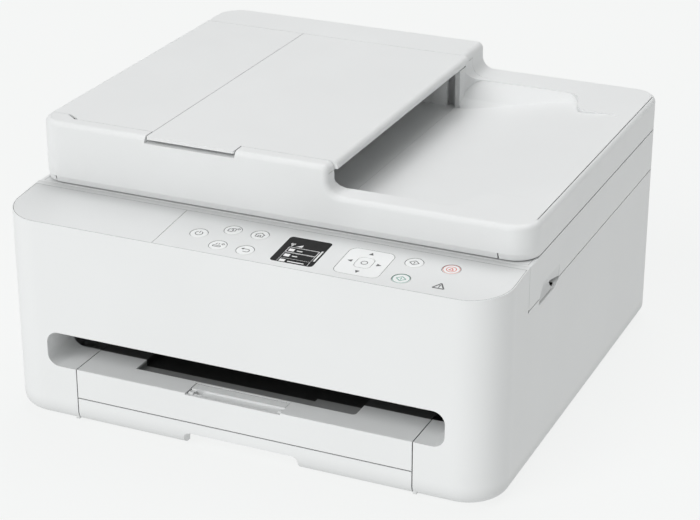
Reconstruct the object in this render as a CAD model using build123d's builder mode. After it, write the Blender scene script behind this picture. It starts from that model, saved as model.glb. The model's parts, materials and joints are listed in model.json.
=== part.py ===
"""Multifunction inkjet printer with a top document feeder, as an assembly of separate pieces.

Millimetres, +Z up, +Y to the rear. The origin is under the middle of the machine, on the surface
that it stands on. Lengths named "..._from_front" are measured back from the front face.
"""
import math
import os

from build123d import *

os.makedirs("parts", exist_ok=True)

# Overall size of the machine
width = 376.0
depth = 359.0
height = 205.5

# Mouldings
wall = 2.5
seam = 0.8
fit_gap = 0.3
front_corner = 30.0
rear_corner = 21.0
bottom_round = 8.0

# Heights of the main seams, counted down from the top
foot_height = 2.5
rim_level = height - 21.0
scanner_top_level = rim_level - 25.9
deck_level = scanner_top_level - 32.6
panel_front_height = scanner_top_level - 4.6
panel_angle = 5.0

# Front block that carries the control panel
front_block_depth = 57.5
panel_length = 52.9
panel_thickness = 3.0
panel_inset = 0.6
panel_ledge = 2.0
panel_ledge_width = 3.0
panel_split_x = -64.0

# Opening at the front
recess_half_width = width / 2 - 35.5
recess_bottom = 44.0
recess_top = 70.5
recess_corner = 9.0
tunnel_depth = 35.0
paper_half_width = 105.5
channel_half_width = paper_half_width + 24.5
channel_gap = 0.8

# Hinges of the scanner and of the lid
hinge_radius = 9.0
hinge_pin_radius = 3.0
hinge_bore_gap = 0.08
lug_width = 10.0
lug_gap = 1.0
scanner_hinge_x = width / 2 - 50.0
lid_hinge_x = width / 2 - 68.0

# Places that follow from the sizes above
left = -width / 2
right = width / 2
front = -depth / 2
back = depth / 2
housing_bottom = foot_height
floor_top = housing_bottom + wall
front_block_end = front + front_block_depth
scanner_front = front_block_end + 0.5 * seam
scanner_bottom = deck_level + seam
lid_bottom = scanner_top_level + 1.2
lid_front = front_block_end + 1.0
scanner_axis_y = back - hinge_radius
scanner_axis_z = scanner_bottom + hinge_radius
lid_axis_y = back - hinge_radius
lid_axis_z = lid_bottom + hinge_radius
panel_slope = math.tan(math.radians(panel_angle))
inner_x = right - wall

# The sloping surface of the control panel: local X to the right, local Y up the slope
panel_plane = Plane(
    origin=(0, front, panel_front_height),
    x_dir=(1, 0, 0),
    z_dir=(0, -math.sin(math.radians(panel_angle)), math.cos(math.radians(panel_angle))),
)


# Helpers that add to, or cut from, the piece that is being built

def save(piece, name):
    """Label a finished piece and write it to its own file."""
    piece.part.label = name
    export_step(piece.part, "parts/" + name + ".step")


def block(x0, x1, y0, y1, z0, z1, mode=Mode.ADD):
    """A plain block between two corners."""
    with Locations(((x0 + x1) / 2, (y0 + y1) / 2, (z0 + z1) / 2)):
        Box(x1 - x0, y1 - y0, z1 - z0, mode=mode)


def rod_along_x(x0, x1, y, z, radius, mode=Mode.ADD):
    """A round bar along X."""
    with Locations(Plane(origin=((x0 + x1) / 2, y, z), z_dir=(1, 0, 0))):
        Cylinder(radius, x1 - x0, mode=mode)


def rod_along_y(y0, y1, x, z, radius, mode=Mode.ADD):
    """A round bar along Y."""
    with Locations(Plane(origin=(x, (y0 + y1) / 2, z), z_dir=(0, 1, 0))):
        Cylinder(radius, y1 - y0, mode=mode)


def rod_along_z(z0, z1, x, y, radius, mode=Mode.ADD):
    """A round bar along Z."""
    with Locations((x, y, (z0 + z1) / 2)):
        Cylinder(radius, z1 - z0, mode=mode)


def plan_outline(plane, x0, x1, y0, y1, front_radius=0.0, back_radius=0.0):
    """A plan outline with its own corner radius at the front and at the back."""
    with BuildSketch(plane) as plan:
        with Locations(((x0 + x1) / 2, (y0 + y1) / 2)):
            Rectangle(x1 - x0, y1 - y0)
        if front_radius > 0:
            fillet(plan.vertices().group_by(Axis.Y)[0], front_radius)
        if back_radius > 0:
            fillet(plan.vertices().group_by(Axis.Y)[-1], back_radius)
    return plan.sketch


def level(z):
    """The horizontal plane at a height."""
    return Plane.XY.offset(z)


def upright(y):
    """The upright plane at a place along Y, seen from the front."""
    return Plane.XZ.offset(-y)


def side_on(x):
    """The upright plane at a place along X, with local X to the rear."""
    return Plane.YZ.offset(x)


def hinge_relief(axis_y, axis_z):
    """Cut the rear bottom edge round about a hinge axis, over the whole width."""
    beyond = 4 * wall
    with BuildSketch(Plane.YZ) as corner:
        with BuildLine():
            Polyline(
                (axis_y, axis_z - hinge_radius),
                (axis_y, axis_z - hinge_radius - beyond),
                (axis_y + hinge_radius + beyond, axis_z - hinge_radius - beyond),
                (axis_y + hinge_radius + beyond, axis_z),
                (axis_y + hinge_radius, axis_z),
            )
            RadiusArc((axis_y + hinge_radius, axis_z), (axis_y, axis_z - hinge_radius), hinge_radius)
        make_face()
    extrude(corner.sketch, amount=width, both=True, mode=Mode.SUBTRACT)


def hinge_lug(x, base_z, axis_y, axis_z):
    """A standing lug with a rounded head and the bore of a hinge pin."""
    head = hinge_radius - wall
    with BuildSketch(side_on(x - lug_width / 2)) as lug:
        with Locations((axis_y, axis_z)):
            Circle(head)
        with Locations((axis_y, (base_z + axis_z) / 2)):
            Rectangle(2 * head, axis_z - base_z)
        with Locations((axis_y, axis_z)):
            Circle(hinge_pin_radius + hinge_bore_gap, mode=Mode.SUBTRACT)
    extrude(lug.sketch, amount=lug_width)


def hinge_pocket(x, axis_y, axis_z):
    """The closed block, the slot for a lug and the pin across it, at the rear of a hinged casing."""
    cheek = 5.0
    slot_half = lug_width / 2 + lug_gap
    slot_top = axis_z + hinge_radius
    slot_front = axis_y - hinge_radius
    block(x - slot_half - cheek, x + slot_half + cheek, slot_front - wall, back - 1.0,
          axis_z - hinge_radius, slot_top + wall)
    block(x - slot_half, x + slot_half, slot_front, back + wall,
          axis_z - 2 * hinge_radius, slot_top, mode=Mode.SUBTRACT)
    rod_along_x(x - slot_half - cheek / 2, x + slot_half + cheek / 2, axis_y, axis_z, hinge_pin_radius)


# Finger scoops, one on each side, where the scanner unit is lifted
scoop_start = front + 78.5
scoop_flat_end = front + 109.0
scoop_end = front + 121.0
scoop_drop = 4.5
scoop_rise = 10.0
scoop_depth = 4.4
seam_dot_radius = 1.3


def scoop_notch(side):
    """Cut the dip in the lower casing's edge under a finger scoop."""
    with BuildSketch(side_on(side * right)) as dip:
        with BuildLine():
            Polyline(
                (scoop_start, deck_level + 1),
                (scoop_start, deck_level - scoop_drop),
                (scoop_flat_end, deck_level - scoop_drop),
                (scoop_end, deck_level),
                (scoop_end, deck_level + 1),
                close=True,
            )
        make_face()
    extrude(dip.sketch, amount=-side * (wall + scoop_depth), mode=Mode.SUBTRACT)


def seam_dots():
    """Cut the small round reliefs where the upright seam meets the deck's seam, one on each side."""
    for side in (-1, 1):
        rod_along_x(side * right - 2, side * right + 2, front_block_end, deck_level + seam / 2,
                    seam_dot_radius, mode=Mode.SUBTRACT)


# Lower casing: front, sides, back and floor in one moulding

rear_opening_half_width = paper_half_width + 2.5
rear_opening_bottom = 30.0
rear_opening_top = deck_level - 24.0
rear_pin_radius = 1.5
rear_barrel_radius = 3.0
rear_axis_y = back - rear_barrel_radius
rear_axis_z = rear_opening_bottom + rear_barrel_radius + fit_gap
inlet_x = left + 40.0
inlet_z = 52.0
inlet_width = 26.0
inlet_height = 18.0
usb_x = right - 42.0
usb_z = 48.0
usb_width = 13.0
usb_height = 12.0
deck_window_x = right - 38.0
deck_window_front = front + 72.0
deck_window_rear = back - 67.0
arm_slot_x0 = right - 31.0
arm_slot_x1 = right - 15.0
arm_slot_front = front + 126.0
arm_slot_rear = back - 77.0
foot_radius = 7.0
foot_sink = 0.5
foot_places = [(sx * (right - 24.0), y) for sx in (-1, 1) for y in (front + 24.0, back - 24.0)]

with BuildPart() as base_cavity:
    inside = plan_outline(level(floor_top), left + wall, right - wall, front + wall, back - wall,
                          front_corner - wall, rear_corner - wall)
    extrude(inside, amount=deck_level - wall - floor_top)
    fillet(base_cavity.faces().sort_by(Axis.Z)[0].edges(), bottom_round - wall)
    inside_front = plan_outline(level(deck_level - 2 * wall), left + wall, right - wall,
                                front + wall, front_block_end - wall, front_corner - wall)
    extrude(inside_front, amount=panel_front_height)
    split(bisect_by=panel_plane.offset(-panel_thickness - panel_ledge), keep=Keep.BOTTOM)

with BuildPart() as base_housing:
    outside = plan_outline(level(housing_bottom), left, right, front, back, front_corner, rear_corner)
    extrude(outside, amount=deck_level - housing_bottom)
    fillet(base_housing.faces().sort_by(Axis.Z)[0].edges(), bottom_round)
    outside_front = plan_outline(level(deck_level - wall), left, right, front, front_block_end, front_corner)
    extrude(outside_front, amount=panel_front_height)
    split(bisect_by=panel_plane, keep=Keep.BOTTOM)
    add(base_cavity.part, mode=Mode.SUBTRACT)
    # Pocket for the two panel covers, and the window through its ledge
    pocket = plan_outline(panel_plane, left + panel_inset, right - panel_inset, panel_inset, panel_length,
                          front_corner - panel_inset)
    extrude(pocket, amount=-panel_thickness, mode=Mode.SUBTRACT)
    ledge_reach = wall + panel_ledge_width
    window = plan_outline(panel_plane, left + ledge_reach, right - ledge_reach,
                          ledge_reach, panel_length - panel_ledge_width, front_corner - ledge_reach)
    extrude(window, amount=-panel_thickness - panel_ledge - 1, mode=Mode.SUBTRACT)
    # Tunnel of the paper outlet, and the channel below it for the tray and the cassette
    with BuildSketch(upright(front)):
        with Locations((0, (recess_bottom + recess_top) / 2)):
            RectangleRounded(2 * (recess_half_width + wall), recess_top - recess_bottom + 2 * wall,
                             recess_corner + wall)
    extrude(amount=-tunnel_depth)
    for side in (-1, 1):
        channel_wall = side * (channel_half_width + wall / 2)
        block(channel_wall - wall / 2, channel_wall + wall / 2, front + wall / 2, front + tunnel_depth,
              floor_top - wall / 2, recess_bottom)
    with BuildSketch(upright(front - 1)):
        with Locations((0, (recess_bottom + recess_top) / 2)):
            RectangleRounded(2 * recess_half_width, recess_top - recess_bottom, recess_corner)
    extrude(amount=-tunnel_depth - 2, mode=Mode.SUBTRACT)
    block(-channel_half_width, channel_half_width, front - 1, front + tunnel_depth + 1,
          -1, recess_bottom + 1, mode=Mode.SUBTRACT)
    # Openings of the deck: the access window and the slot of the support arm
    block(-deck_window_x, deck_window_x, deck_window_front, deck_window_rear,
          deck_level - 2 * wall, deck_level + 1, mode=Mode.SUBTRACT)
    block(arm_slot_x0, arm_slot_x1, arm_slot_front, arm_slot_rear,
          deck_level - 2 * wall, deck_level + 1, mode=Mode.SUBTRACT)
    for side in (-1, 1):
        scoop_notch(side)
    seam_dots()
    # Opening for the rear cover with the ears of its hinge, and the holes of the two sockets
    ear = 4.0
    block(-rear_opening_half_width, rear_opening_half_width, back - 2 * wall, back + 1,
          rear_opening_bottom, rear_opening_top, mode=Mode.SUBTRACT)
    for side in (-1, 1):
        ear_x = side * (rear_opening_half_width + ear / 2)
        block(ear_x - ear / 2, ear_x + ear / 2, rear_axis_y - 2 * rear_barrel_radius, back - wall / 2,
              rear_opening_bottom - ear / 2, rear_axis_z + 2 * rear_barrel_radius)
    rod_along_x(-rear_opening_half_width - ear / 2, rear_opening_half_width + ear / 2,
                rear_axis_y, rear_axis_z, rear_pin_radius + hinge_bore_gap, mode=Mode.SUBTRACT)
    block(inlet_x - inlet_width / 2, inlet_x + inlet_width / 2, back - 2 * wall, back + 1,
          inlet_z - inlet_height / 2, inlet_z + inlet_height / 2, mode=Mode.SUBTRACT)
    block(usb_x - usb_width / 2, usb_x + usb_width / 2, back - 2 * wall, back + 1,
          usb_z - usb_height / 2, usb_z + usb_height / 2, mode=Mode.SUBTRACT)
    for side in (-1, 1):
        hinge_lug(side * scanner_hinge_x, deck_level, scanner_axis_y, scanner_axis_z)
    # Shallow seats of the feet
    for x, y in foot_places:
        rod_along_z(housing_bottom - 1, housing_bottom + foot_sink, x, y, foot_radius, mode=Mode.SUBTRACT)
save(base_housing, "base_housing")

with BuildPart() as rubber_feet:
    for x, y in foot_places:
        rod_along_z(0, housing_bottom + foot_sink, x, y, foot_radius)
save(rubber_feet, "rubber_feet")


# Control panel: two cover plates, the display, the buttons and the board below them

cover_gap = 0.3
button_radius = 6.2
button_gap = 0.35
button_travel = 0.5
cap_thickness = 2.6
flange_radius = 7.6
flange_thickness = 1.0
stem_radius = 2.2
board_drop = 9.6
board_thickness = 1.6
board_x0 = -56.0
board_x1 = 156.0
board_y0 = 9.0
board_y1 = 45.0
post_radius = 2.4
display_x = 37.4
display_y = 24.7
display_width = 31.5
display_length = 35.3
display_corner = 2.6
display_thickness = 1.2
pad_x = 83.4
pad_y = 25.0
pad_width = 32.4
pad_length = 35.0
pad_corner = 5.5
pad_thickness = 2.2
ok_width = 11.6
ok_length = 13.6
ok_corner = 3.6
round_buttons = {
    "power_button": (-40.0, 24.7),
    "copy_button": (-19.8, 36.5),
    "home_button": (0.8, 36.5),
    "scan_button": (-19.8, 13.6),
    "back_button": (0.8, 13.6),
    "start_black_button": (114.5, 36.5),
    "start_color_button": (114.5, 13.6),
    "stop_button": (140.8, 36.5),
}
panel_posts = [(-52.0, 40.0), (-52.0, 14.0), (12.0, 25.0), (60.5, 40.0), (60.5, 12.0), (104.0, 40.0),
               (104.0, 12.0), (128.0, 25.0), (152.0, 25.0)]


def panel_outline(x0, x1, thickness):
    """One cover plate of the panel, cut from the whole top between two places along X."""
    inset = panel_inset + cover_gap
    whole = plan_outline(panel_plane, left + inset, right - inset, inset, panel_length - cover_gap,
                         front_corner - inset)
    extrude(whole, amount=-thickness)
    for limit, keep in ((x0, Keep.TOP), (x1, Keep.BOTTOM)):
        split(bisect_by=Plane(origin=(limit, 0, 0), z_dir=(1, 0, 0)), keep=keep)


def panel_prism(shape, from_depth, to_depth, mode=Mode.ADD):
    """Extrude a sketch drawn on the panel plane between two depths below the panel's surface."""
    moved = shape.moved(Location(panel_plane.z_dir * -from_depth))
    extrude(moved, amount=from_depth - to_depth, mode=mode)


def panel_round(x, y, radius):
    """A circle on the panel plane."""
    with BuildSketch(panel_plane) as round_shape:
        with Locations((x, y)):
            Circle(radius)
    return round_shape.sketch


def panel_rounded(x, y, size_x, size_y, corner):
    """A rounded rectangle on the panel plane."""
    with BuildSketch(panel_plane) as rounded_shape:
        with Locations((x, y)):
            RectangleRounded(size_x, size_y, corner)
    return rounded_shape.sketch


with BuildPart() as left_panel:
    panel_outline(left, panel_split_x - cover_gap / 2, panel_thickness)
save(left_panel, "left_panel")

with BuildPart() as control_panel:
    panel_outline(panel_split_x + cover_gap / 2, right, panel_thickness)
    for x, y in panel_posts:
        panel_prism(panel_round(x, y, post_radius), panel_thickness - 0.5, board_drop)
    for x, y in round_buttons.values():
        hole = panel_round(x, y, button_radius + button_gap)
        panel_prism(hole, -1, panel_thickness + 1, mode=Mode.SUBTRACT)
    pad_hole = panel_rounded(pad_x, pad_y, pad_width + 2 * button_gap, pad_length + 2 * button_gap,
                             pad_corner + button_gap)
    panel_prism(pad_hole, -1, panel_thickness + 1, mode=Mode.SUBTRACT)
    display_seat = panel_rounded(display_x, display_y, display_width, display_length, display_corner)
    panel_prism(display_seat, -1, display_thickness, mode=Mode.SUBTRACT)
    display_window_hole = panel_rounded(display_x, display_y, display_width - 4, display_length - 4,
                                        display_corner)
    panel_prism(display_window_hole, 0, panel_thickness + 1, mode=Mode.SUBTRACT)
save(control_panel, "control_panel")

with BuildPart() as display_window:
    panel_prism(panel_rounded(display_x, display_y, display_width, display_length, display_corner),
                0, display_thickness)
    panel_prism(panel_rounded(display_x, display_y, display_width - 5, display_length - 5, 1.0),
                display_thickness - 0.4, board_drop)
save(display_window, "display_window")

with BuildPart() as panel_board:
    board = panel_rounded((board_x0 + board_x1) / 2, (board_y0 + board_y1) / 2,
                          board_x1 - board_x0, board_y1 - board_y0, 2.0)
    panel_prism(board, board_drop, board_drop + board_thickness)
save(panel_board, "panel_board")

for button_name, (x, y) in round_buttons.items():
    with BuildPart() as round_button:
        panel_prism(panel_round(x, y, button_radius), 0, panel_thickness + fit_gap + 0.2)
        fillet(round_button.edges().group_by(Axis.Z)[-1], 0.3)
        panel_prism(panel_round(x, y, flange_radius), panel_thickness + fit_gap,
                    panel_thickness + fit_gap + flange_thickness)
        panel_prism(panel_round(x, y, stem_radius), panel_thickness, board_drop - button_travel - fit_gap)
    save(round_button, button_name)

pad_tilt = 1.5
pad_rib = 1.2
with BuildPart() as navigation_pad:
    panel_prism(panel_rounded(pad_x, pad_y, pad_width, pad_length, pad_corner), 0, pad_thickness)
    # A fulcrum rib on each side of the middle, standing on the board
    for side in (-1, 1):
        rib_x = pad_x + side * (pad_width / 2 - 3 * pad_rib)
        panel_prism(panel_rounded(rib_x, pad_y, 2 * pad_rib, 2 * pad_rib, 0.3),
                    pad_thickness - 0.5, board_drop - fit_gap)
    ok_hole = panel_rounded(pad_x, pad_y, ok_width + 2 * button_gap, ok_length + 2 * button_gap,
                            ok_corner + button_gap)
    panel_prism(ok_hole, -1, pad_thickness + 1, mode=Mode.SUBTRACT)
save(navigation_pad, "navigation_pad")

with BuildPart() as ok_button:
    panel_prism(panel_rounded(pad_x, pad_y, ok_width, ok_length, ok_corner), 0,
                pad_thickness + fit_gap + 0.2)
    panel_prism(panel_rounded(pad_x, pad_y, ok_width + 2, ok_length + 2, ok_corner),
                pad_thickness + 2 * button_travel, pad_thickness + 2 * button_travel + flange_thickness)
    panel_prism(panel_round(pad_x, pad_y, stem_radius), pad_thickness, board_drop - button_travel - fit_gap)
save(ok_button, "ok_button")


# Paper cassette with its three guides

front_half_width = channel_half_width - channel_gap
cassette_top = 21.0
cassette_front_depth = 10.0
tub_half_width = channel_half_width - 5.0
tub_length = depth - 43.0
tub_wall = 2.0
tub_gap = 0.6
tub_bottom = floor_top + tub_gap
tub_floor = tub_bottom + tub_wall
grip_half_width = 44.5
grip_top = 12.5
grip_depth = 26.0
grip_corner = 5.0
guide_thickness = 2.0
guide_height = 10.0
guide_length = 62.0
guide_foot = 22.0
guide_gap = 0.15
side_guide_y = front + tub_length - 126.0
end_guide_y = front + 32.0
rack_slot = 4.0

with BuildPart() as cassette:
    block(-front_half_width, front_half_width, front, front + cassette_front_depth,
          housing_bottom, cassette_top)
    fillet(cassette.edges().filter_by(Axis.X).group_by(Axis.Y)[0].sort_by(Axis.Z)[0],
           bottom_round)
    block(-tub_half_width, tub_half_width, front + cassette_front_depth - 1, front + tub_length,
          tub_bottom, cassette_top - tub_gap)
    block(-tub_half_width + tub_wall, tub_half_width - tub_wall,
          front + cassette_front_depth + tub_wall, front + tub_length - tub_wall,
          tub_floor, cassette_top + 1, mode=Mode.SUBTRACT)
    # Roof and walls of the finger grip under the front edge
    block(-grip_half_width - tub_wall, grip_half_width + tub_wall,
          front + tub_wall, front + grip_depth + tub_wall, tub_bottom, grip_top + tub_wall)
    with BuildSketch(upright(front - 1)):
        with Locations((0, grip_top - 20)):
            RectangleRounded(2 * grip_half_width, 40, grip_corner)
    extrude(amount=-grip_depth - 1, mode=Mode.SUBTRACT)
    # Slots in the floor in which the guides slide
    for side in (-1, 1):
        slot_x = side * (paper_half_width - guide_foot / 2 - 22)
        block(slot_x - 34, slot_x + 34, side_guide_y - rack_slot / 2, side_guide_y + rack_slot / 2,
              tub_bottom - 1, tub_floor + 1, mode=Mode.SUBTRACT)
    block(-rack_slot / 2, rack_slot / 2, end_guide_y + 12, end_guide_y + 118,
          tub_bottom - 1, tub_floor + 1, mode=Mode.SUBTRACT)
save(cassette, "cassette")

for side, guide_name in ((-1, "left_paper_guide"), (1, "right_paper_guide")):
    with BuildPart() as paper_guide:
        inner = side * paper_half_width
        outer = side * (paper_half_width + guide_thickness)
        block(min(inner, outer), max(inner, outer), side_guide_y - guide_length / 2,
              side_guide_y + guide_length / 2, tub_floor + guide_gap, tub_floor + guide_height)
        foot = side * (paper_half_width - guide_foot)
        block(min(foot, outer), max(foot, outer), side_guide_y - guide_length / 3,
              side_guide_y + guide_length / 3, tub_floor + guide_gap, tub_floor + guide_gap + 1.2)
        key = side * (paper_half_width - guide_foot / 2)
        block(key - 4, key + 4, side_guide_y - rack_slot / 2 + 0.3, side_guide_y + rack_slot / 2 - 0.3,
              tub_bottom + 0.3, tub_floor + guide_gap + 0.5)
    save(paper_guide, guide_name)

with BuildPart() as end_paper_guide:
    block(-guide_length / 2, guide_length / 2, end_guide_y, end_guide_y + guide_thickness,
          tub_floor + guide_gap, tub_floor + guide_height)
    block(-guide_length / 3, guide_length / 3, end_guide_y, end_guide_y + guide_foot,
          tub_floor + guide_gap, tub_floor + guide_gap + 1.2)
    block(-rack_slot / 2 + 0.3, rack_slot / 2 - 0.3, end_guide_y + 13, end_guide_y + 21,
          tub_bottom + 0.3, tub_floor + guide_gap + 0.5)
save(end_paper_guide, "end_paper_guide")


# Paper output tray with its fold-out support

tray_bottom = cassette_top + channel_gap
tray_top = recess_bottom
tray_length = depth - 219.0
tray_wall = 2.4
pocket_x0 = -91.5
pocket_x1 = 79.5
pocket_step_x = 44.0
pocket_front = front + 19.0
pocket_deep = 5.0
pocket_shallow = 2.6
pocket_corner = 3.0
support_x0 = -41.5
support_x1 = 31.0
support_axis_y = front + 5.2
support_axis_z = tray_top - 3.0
support_arm_radius = 2.2
support_rear = front + 17.0
support_gap = 0.5
support_pin_radius = 1.0
notch_depth = 7.2
notch_dip = 1.2
notch_front = front + 2.4

with BuildPart() as output_tray:
    block(-front_half_width, front_half_width, front, front + tray_length, tray_bottom, tray_top)
    fillet(output_tray.edges().filter_by(Axis.X).group_by(Axis.Y)[0].sort_by(Axis.Z)[-1], 0.8)
    block(-front_half_width + tray_wall, front_half_width - tray_wall,
          front + tray_wall, front + tray_length + 1, tray_bottom - 1, tray_top - tray_wall,
          mode=Mode.SUBTRACT)
    # Dished pocket in the top, in two depths, with its own floor below
    block(pocket_x0 - tray_wall, pocket_x1 + tray_wall, pocket_front - tray_wall, front + tray_length,
          tray_top - pocket_deep - tray_wall, tray_top - tray_wall / 2)
    with BuildSketch(level(tray_top)):
        with BuildLine():
            Polyline((pocket_x0, pocket_front), (pocket_step_x, pocket_front),
                     (pocket_step_x, front + tray_length - 8), (pocket_x0, front + tray_length - 8),
                     close=True)
        make_face()
    extrude(amount=-pocket_deep, mode=Mode.SUBTRACT)
    with BuildSketch(level(tray_top)) as shallow:
        with Locations(((pocket_x0 + pocket_x1) / 2, pocket_front + 50)):
            RectangleRounded(pocket_x1 - pocket_x0, 100, pocket_corner)
    extrude(amount=-pocket_shallow, mode=Mode.SUBTRACT)
    # Notch that the support folds into, with the walls around it and the holes of its pins
    block(support_x0 - tray_wall - 1, support_x1 + tray_wall + 1, front + tray_wall / 2,
          support_rear + tray_wall, tray_top - notch_depth - tray_wall, tray_top - 1)
    block(support_x0 - support_gap, support_x1 + support_gap, notch_front, support_rear + support_gap,
          tray_top - notch_depth, tray_top + 1, mode=Mode.SUBTRACT)
    block(support_x0 - support_gap, support_x1 + support_gap, front - 1, notch_front + 1,
          tray_top - notch_dip, tray_top + 1, mode=Mode.SUBTRACT)
    rod_along_x(support_x0 - 2, support_x1 + 2, support_axis_y, support_axis_z,
                support_pin_radius + hinge_bore_gap, mode=Mode.SUBTRACT)
save(output_tray, "output_tray")

with BuildPart() as output_support:
    plate_front = support_axis_y + 4.2
    plate_low = support_axis_z - 1.4
    plate_high = tray_top - 0.3
    block(support_x0, support_x1, plate_front, support_rear, plate_low, plate_high)
    fillet(output_support.edges().filter_by(Axis.X).group_by(Axis.Y)[-1], 0.7)
    for arm_x0, arm_x1 in ((support_x0, support_x0 + 4), (support_x1 - 3, support_x1)):
        block(arm_x0, arm_x1, support_axis_y, plate_front + 1, plate_low, support_axis_z + 1.6)
        rod_along_x(arm_x0, arm_x1, support_axis_y, support_axis_z, support_arm_radius)
    lip_x0 = support_x0 + 10
    lip_x1 = support_x1 - 3
    block(lip_x0, lip_x1, support_axis_y - 1.4, plate_front + 1, plate_low, support_axis_z + 1.2)
    rod_along_x(support_x0 - 1.5, support_x1 + 1.5, support_axis_y, support_axis_z, support_pin_radius)
save(output_support, "output_support")


# Print mechanism: frame, rail, platen, rollers and their gears

frame_half_width = right - 32.0
sheet = 2.0
frame_rear = back - 87.0
frame_front = frame_rear - 132.0
frame_top = deck_level - 10.0
frame_foot_top = 26.0
rail_y = frame_front + 96.0
rail_z = deck_level - 30.0
rail_radius = 4.0
platen_front = frame_front + 26.0
platen_rear = frame_front + 68.0
platen_top = 53.0
platen_thickness = 4.0
platen_rib = 1.6
platen_rib_count = 12
roller_z = 49.0
feed_roller_y = frame_front + 82.0
exit_roller_y = frame_front + 16.0
feed_shaft_radius = 4.0
exit_shaft_radius = 3.0
roller_radius = 6.0
shaft_gap = 0.06
gear_module = 1.25
feed_gear_teeth = 32
gear_gap = 0.4
gear_face = 5.0
gear_x = -frame_half_width - 4.0
idler_gear_teeth = int(round((feed_roller_y - exit_roller_y - 2 * gear_gap) / gear_module)) - feed_gear_teeth
pinion_teeth = 12
feed_gear_radius = gear_module * feed_gear_teeth / 2
idler_gear_radius = gear_module * idler_gear_teeth / 2
pinion_radius = gear_module * pinion_teeth / 2
idler_y = (feed_roller_y + exit_roller_y) / 2
mesh_angle = -3 * 360 / feed_gear_teeth
pinion_distance = feed_gear_radius + pinion_radius + gear_gap
feed_motor_y = feed_roller_y + pinion_distance * math.cos(math.radians(mesh_angle))
feed_motor_z = roller_z + pinion_distance * math.sin(math.radians(mesh_angle))
pinion_turn = (180 + mesh_angle) / 360 * pinion_teeth - 0.5
pulley_x = frame_half_width - 16.0
pulley_z = deck_level - 26.0
pulley_radius = 8.0
pulley_pin_radius = 2.5
belt_front = frame_front + 107.0
belt_width = 5.0
belt_thickness = 1.2
motor_shaft_radius = 2.0
pickup_y = frame_rear - 16.0
pickup_z = 30.5
pickup_radius = 8.0
pickup_shaft_radius = 2.0
pickup_half_width = 26.0
tie_front = frame_front + 44.0
tie_depth = 6.0
motor_radius = 14.0
motor_length = 30.0


def gear_outline(plane, teeth, turned, bore):
    """Flat outline of a spur gear with straight-sided teeth, turned by a share of one tooth."""
    pitch_radius = gear_module * teeth / 2
    root = pitch_radius - 1.1 * gear_module
    tip = pitch_radius + 0.75 * gear_module
    step = 2 * math.pi / teeth
    points = []
    for tooth in range(teeth):
        middle = (tooth + turned) * step
        for radius, share in ((root, -0.3), (tip, -0.12), (tip, 0.12), (root, 0.3)):
            angle = middle + share * step
            points.append((radius * math.cos(angle), radius * math.sin(angle)))
    with BuildSketch(plane) as outline:
        with BuildLine():
            Polyline(*points, close=True)
        make_face()
        Circle(bore, mode=Mode.SUBTRACT)
    return outline.sketch


def gear_plane(y, z):
    """Plane of the outer face of a gear in the train beside the frame, with local X to the rear."""
    return Plane(origin=(gear_x - gear_face / 2, y, z), x_dir=(0, 1, 0), z_dir=(1, 0, 0))


with BuildPart() as print_frame:
    for side in (-1, 1):
        plate_x = side * frame_half_width
        with BuildSketch(side_on(plate_x - sheet / 2)):
            with BuildLine():
                Polyline(
                    (frame_front, frame_foot_top), (frame_front, roller_z + 18),
                    (frame_front + 20, roller_z + 26), (platen_rear + 4, frame_top - 6),
                    (platen_rear + 10, frame_top), (frame_rear, frame_top), (frame_rear, floor_top),
                    (frame_rear - 24, floor_top), (frame_rear - 24, frame_foot_top),
                    (frame_front + 24, frame_foot_top), (frame_front + 24, floor_top),
                    (frame_front + 8, floor_top), (frame_front + 8, frame_foot_top),
                    close=True,
                )
            make_face()
        extrude(amount=sheet)
    # Upright cross plate at the rear, and the two ties at the front
    block(-frame_half_width, frame_half_width, frame_rear - sheet, frame_rear, 72, frame_top - 2)
    block(-frame_half_width, frame_half_width, frame_front + 2, frame_front + 6, roller_z + 8, roller_z + 14)
    # Bores of the shafts and of the rail
    for y, z, radius in ((feed_roller_y, roller_z, feed_shaft_radius),
                         (exit_roller_y, roller_z, exit_shaft_radius)):
        rod_along_x(-frame_half_width - 9, frame_half_width + 9, y, z, radius + shaft_gap, mode=Mode.SUBTRACT)
    # Stub that carries the idler gear
    rod_along_x(gear_x - gear_face / 2 - 1, -frame_half_width, idler_y, roller_z, 3.0)
    # Tie under the platen
    block(-frame_half_width, frame_half_width, tie_front, tie_front + tie_depth,
          platen_top - platen_thickness - 9, platen_top - platen_thickness)
    # Bracket of the pick-up roller, hanging from the rear cross plate
    for side in (-1, 1):
        block(side * pickup_half_width - sheet / 2, side * pickup_half_width + sheet / 2,
              pickup_y - 6, frame_rear - sheet / 2, pickup_z - 5, 80)
    rod_along_x(-pickup_half_width - sheet, pickup_half_width + sheet, pickup_y, pickup_z,
                pickup_shaft_radius + shaft_gap, mode=Mode.SUBTRACT)
    # Clearance holes of the two motor shafts, and the pin of the idler pulley
    rod_along_x(-frame_half_width - 2, -frame_half_width + 2, feed_motor_y, feed_motor_z,
                motor_shaft_radius + 1, mode=Mode.SUBTRACT)
    rod_along_y(frame_rear - 2 * sheet, frame_rear + 1, -pulley_x, pulley_z, motor_shaft_radius + 1,
                mode=Mode.SUBTRACT)
    rod_along_y(belt_front - 1, frame_rear - sheet / 2, pulley_x, pulley_z, pulley_pin_radius)
    # Seats of the rail's ends
    rod_along_x(-frame_half_width - sheet, frame_half_width + sheet, rail_y, rail_z, rail_radius,
                mode=Mode.SUBTRACT)
save(print_frame, "print_frame")

with BuildPart() as carriage_rail:
    rod_along_x(-frame_half_width - 2 * sheet, frame_half_width + 2 * sheet, rail_y, rail_z, rail_radius)
    chamfer(carriage_rail.edges().filter_by(GeomType.CIRCLE), 0.6)
save(carriage_rail, "carriage_rail")

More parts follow.
